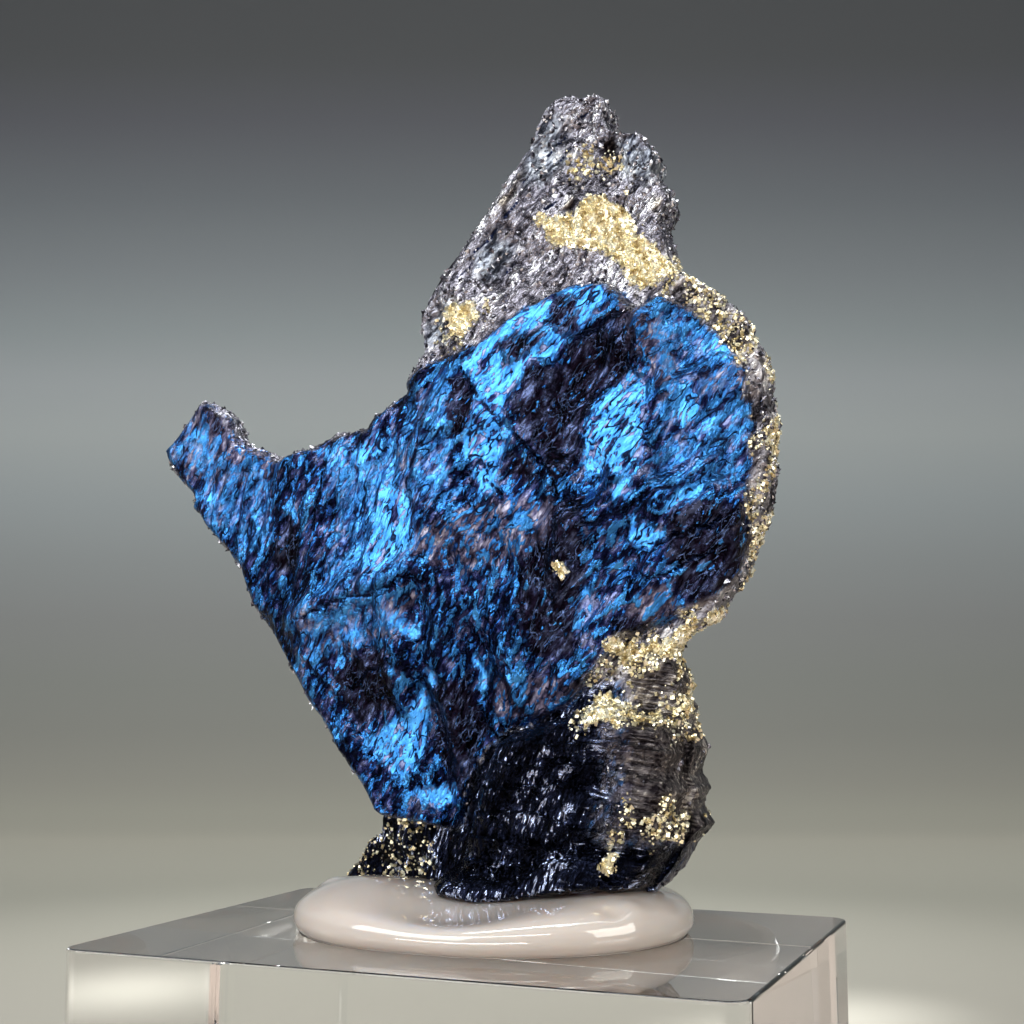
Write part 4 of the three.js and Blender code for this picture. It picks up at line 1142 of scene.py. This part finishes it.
# %% Scattering helpers
CUBE = np.array([[i, j, k] for i in (-1, 1) for j in (-1, 1) for k in (-1, 1)], float)
CUBE_FACES = np.array([
    [0, 1, 3, 2], [4, 6, 7, 5], [0, 4, 5, 1], [2, 3, 7, 6], [0, 2, 6, 4], [1, 5, 7, 3],
])
SPLINTER = np.array([[1, 0, 0], [-1, 0, 0], [0, 1, 0], [0, -1, 0], [0, 0, 1], [0, 0, -1]], float)
SPLINTER_FACES = np.array([
    [0, 2, 4], [2, 1, 4], [1, 3, 4], [3, 0, 4], [2, 0, 5], [1, 2, 5], [3, 1, 5], [0, 3, 5],
])


def surface_draw(rng, weight, number):
    """Random points on the specimen: triangles drawn by area times weight, then a point in each."""
    corner_a, corner_b, corner_c = points[faces[:, 0]], points[faces[:, 1]], points[faces[:, 2]]
    normals = np.cross(corner_b - corner_a, corner_c - corner_a)
    areas = np.linalg.norm(normals, axis=1)
    chance = areas * weight[faces].mean(1)
    chosen = rng.choice(len(faces), number, p=chance / chance.sum())
    u, v = rng.random((2, number, 1))
    fold = u + v > 1
    u, v = np.where(fold, 1 - u, u), np.where(fold, 1 - v, v)
    a, b, c = corner_a[chosen], corner_b[chosen], corner_c[chosen]
    return a + u * (b - a) + v * (c - a), normals[chosen] / areas[chosen][:, None]


def random_turns(rng, number):
    """Random rotation matrices, each from four normal numbers taken as a quaternion."""
    w, i, j, k = (q := rng.normal(size=(4, number))) / np.linalg.norm(q, axis=0)
    return np.stack([
        [1 - 2 * (j * j + k * k), 2 * (i * j - k * w), 2 * (i * k + j * w)],
        [2 * (i * j + k * w), 1 - 2 * (i * i + k * k), 2 * (j * k - i * w)],
        [2 * (i * k - j * w), 2 * (j * k + i * w), 1 - 2 * (i * i + j * j)],
    ]).transpose(2, 0, 1)


def scatter(name, material, shape, shape_faces, centres, turns, sizes):
    """Copies of one small solid: its corners are scaled, turned and moved to each centre."""
    scaled = shape[None] * sizes[:, None, :]
    placed = np.einsum("nij,nkj->nki", turns, scaled) + centres[:, None, :]
    offsets = np.arange(len(centres))[:, None, None] * len(shape)
    all_faces = (shape_faces[None] + offsets).reshape(-1, shape_faces.shape[1])
    obj = make_mesh(name, placed.reshape(-1, 3), all_faces, material)
    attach(obj, "root")
    return obj


# %% Pyrite grains
def pyrite_material():
    material, tree, shader = new_material("pyrite_grains")
    glints = foil(tree, 0.3, 0.3, 0, 0.15)
    tree.links.new(ramp(tree, glints["Tone"], GOLD), shader.inputs["Base Color"])
    tree.links.new(glints["Normal"], shader.inputs["Normal"])
    shader.inputs["Metallic"].default_value = 1.0
    shader.inputs["Roughness"].default_value = 0.3
    return material


PYRITE_COUNT = 14000
grain_rng = np.random.default_rng(21)
centres, normals = surface_draw(grain_rng, specimen_tints[:, 3] ** 2, PYRITE_COUNT)
half_sizes = 0.035 + 0.065 * grain_rng.random((PYRITE_COUNT, 1)) ** 2
half_sizes = half_sizes * grain_rng.uniform(0.6, 1.4, (PYRITE_COUNT, 3))
centres = centres + normals * half_sizes * 0.3
turns = random_turns(grain_rng, PYRITE_COUNT)
scatter("pyrite_grains", pyrite_material(), CUBE, CUBE_FACES, centres, turns, half_sizes)


# %% Crust grains
def crust_material():
    material, tree, shader = new_material("crust_grains")
    glints = foil(tree, 0.22, 0.22, 0, 0.4)
    tree.links.new(ramp(tree, glints["Tone"], CRUST), shader.inputs["Base Color"])
    tree.links.new(glints["Normal"], shader.inputs["Normal"])
    shader.inputs["Metallic"].default_value = 0.85
    shader.inputs["Roughness"].default_value = 0.25
    return material


CRUST_COUNT = 5600
bare = (1 - 0.7 * specimen_tints[:, 3]) * (1 - specimen_tints[:, 1]) ** 2
centres, normals = surface_draw(grain_rng, specimen_tints[:, 2] * bare, CRUST_COUNT)
half_sizes = 0.06 + 0.2 * grain_rng.random((CRUST_COUNT, 3)) ** 1.5
turns = random_turns(grain_rng, CRUST_COUNT)
scatter("crust_grains", crust_material(), SPLINTER, SPLINTER_FACES, centres, turns, half_sizes)

# %% [markdown]
# ## The putty
# Mineral putty is milky, soft and slightly sticky: pressed under a weight it bulges at its side
# and rises a little where it meets the stone. A profile of the bulge is carried round an oval.

# %% Putty shape
PAD = {"x": 0.2, "y": 1.6, "half_length": 10.6, "half_depth": 9.2, "height": 2.35}
PAD_SQUARENESS = 2.4  # 2 would be an ellipse; more is fuller at the corners
PRESSES = [
    # [x, y, reach, height] of each place where the putty is pushed down or has welled up
    (0.8, -6.0, 4.6, -0.95), (-5.6, -1.6, 3.3, 0.5), (8.4, 0.4, 2.8, 0.35), (-9.2, -2.4, 0.8, -0.3),
    (-8.2, -1.4, 0.7, 0.2), (9.6, -2.2, 0.9, 0.3), (8.6, -3.2, 0.7, -0.2),
]
PAD_PROFILE = np.array([
    # [share of the radius, share of the height] from the foot to the middle of the top
    (0.0, 0.0), (0.5, 0.0), (0.93, 0.0), (0.96, 0.01), (0.985, 0.12), (1.0, 0.3), (0.985, 0.58),
    (0.93, 0.8), (0.83, 0.94), (0.68, 1.0), (0.45, 1.0), (0.2, 0.97), (0.0, 0.96),
])
block_low, block_high = (np.array(corner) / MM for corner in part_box("acrylic_block"))
BLOCK_TOP = block_high[2]


def rounded(profile, number):
    """A curve through the profile's points: each stretch is a cubic with its neighbours' slopes."""
    t = np.linspace(0, len(profile) - 1, number)
    k = np.minimum(t.astype(int), len(profile) - 2)
    f = (t - k)[:, None]
    last = len(profile) - 1
    before, start, end, after = (profile[np.clip(k + d, 0, last)] for d in (-1, 0, 1, 2))
    bend = 2 * before - 5 * start + 4 * end - after
    twist = 3 * (start - end) + after - before
    return start + 0.5 * f * (end - before + f * (bend + f * twist))


def putty_points(around, levels):
    """The profile carried round an oval whose radius and height wander with the angle."""
    share, rise = np.maximum(rounded(PAD_PROFILE, levels), 0).T[:, :, None]
    angle = np.linspace(0, 2 * math.pi, around, endpoint=False)[None, :]
    wobble = 1 + 0.018 * np.sin(3 * angle + 0.6) + 0.012 * np.sin(5 * angle + 2)
    wobble = wobble + 0.004 * np.sin(9 * angle + 1) * share
    corners = np.abs(np.cos(angle)) ** PAD_SQUARENESS + np.abs(np.sin(angle)) ** PAD_SQUARENESS
    wobble = wobble * corners ** (-1 / PAD_SQUARENESS)
    px = PAD["x"] + PAD["half_length"] * share * wobble * np.cos(angle)
    py = PAD["y"] + PAD["half_depth"] * share * wobble * np.sin(angle)
    pressed = sum(
        h * np.exp(-((px - x) ** 2 + (py - y) ** 2) / reach**2) for x, y, reach, h in PRESSES
    )
    pz = BLOCK_TOP + rise * (PAD["height"] + rise * pressed)
    return np.stack([px, py, pz], axis=-1)


def grid_faces(levels, around):
    """Quads between neighbouring rings of points, closed round the ring."""
    ring = np.arange(levels - 1)[:, None] * around
    k = np.arange(around)[None, :]
    following = (k + 1) % around
    above = ring + around
    quads = np.stack([ring + k, ring + following, above + following, above + k], axis=-1)
    return quads.reshape(-1, 4)


def putty_material():
    material, tree, shader = new_material("milky_putty")
    shader.inputs["Base Color"].default_value = (0.70, 0.625, 0.575, 1)
    shader.inputs["Roughness"].default_value = 0.04
    shader.inputs["IOR"].default_value = 1.5
    shader.inputs["Coat Weight"].default_value = 1.0
    shader.inputs["Coat IOR"].default_value = 1.8
    shader.inputs["Coat Roughness"].default_value = 0.02
    shader.inputs["Subsurface Weight"].default_value = 0.8
    shader.inputs["Subsurface Radius"].default_value = (1.0, 0.8, 0.65)
    shader.inputs["Subsurface Scale"].default_value = 3.0 * MM
    return material


PAD_LEVELS, PAD_AROUND = 72, 240
pad_points = putty_points(PAD_AROUND, PAD_LEVELS)
pad_points[0] = pad_points[0].mean(0)
pad_points[-1] = pad_points[-1].mean(0)
pad_faces = grid_faces(PAD_LEVELS, PAD_AROUND)
putty = make_mesh(
    "putty_body", pad_points.reshape(-1, 3), pad_faces, putty_material(), smooth=True
)
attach(putty, "root")
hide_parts("putty_pad")

# %% [markdown]
# ## The acrylic block
# The block is a plain rectangle with rounded upright corners. What makes it look real is the
# narrow polished bevel along every edge, which catches a line of light, and the way the clear
# plastic bends what lies behind it.

# %% Block with bevelled edges
CORNER_RADIUS = 1.1
BEVEL = 0.16


def rounded_rectangle(inset, per_corner=10):
    """Four quarter circles joined by straight sides, moved inwards by the inset."""
    half_x, half_y = block_high[0] - CORNER_RADIUS, block_high[1] - CORNER_RADIUS
    turn = np.linspace(0, math.pi / 2, per_corner)
    arcs = []
    for quarter, (sx, sy) in enumerate(((1, 1), (-1, 1), (-1, -1), (1, -1))):
        angle = turn + quarter * math.pi / 2
        radius = CORNER_RADIUS - inset
        arc_x = sx * half_x + radius * np.cos(angle)
        arc_y = sy * half_y + radius * np.sin(angle)
        arcs.append(np.stack([arc_x, arc_y], axis=1))
    return np.concatenate(arcs)


def block_rings():
    """Rings from the underside up: a quarter-circle bevel below, the wall, a bevel above."""
    turn = np.linspace(0, math.pi / 2, 5)
    insets = BEVEL * (1 - np.sin(turn))
    lifts = BEVEL * (1 - np.cos(turn))
    lower = [(inset, lift) for inset, lift in zip(insets, lifts)]
    upper = [(inset, BLOCK_TOP - lift) for inset, lift in lower[::-1]]
    rings = []
    for inset, level in lower + upper:
        ring = rounded_rectangle(inset)
        rings.append(np.column_stack([ring, np.full(len(ring), level)]))
    return np.stack(rings)


def acrylic_material():
    material, tree, shader = new_material("clear_acrylic")
    shader.inputs["Base Color"].default_value = (0.98, 0.99, 0.985, 1)
    shader.inputs["Roughness"].default_value = 0.01
    shader.inputs["IOR"].default_value = 1.49
    shader.inputs["Transmission Weight"].default_value = 1.0
    return material


rings = block_rings()
levels, around = rings.shape[:2]
wall = grid_faces(levels, around).tolist()
caps = [list(range(around))[::-1], [(levels - 1) * around + k for k in range(around)]]
block_mesh = bpy.data.meshes.new("clear_block")
block_mesh.from_pydata((rings.reshape(-1, 3) * MM).tolist(), [], wall + caps)
block_mesh.materials.append(acrylic_material())
block_mesh.update()
block = bpy.data.objects.new("clear_block", block_mesh)
bpy.context.scene.collection.objects.link(block)
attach(block, "root")
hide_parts("acrylic_block")
print("block is", (block_high - block_low).round(1), "mm")
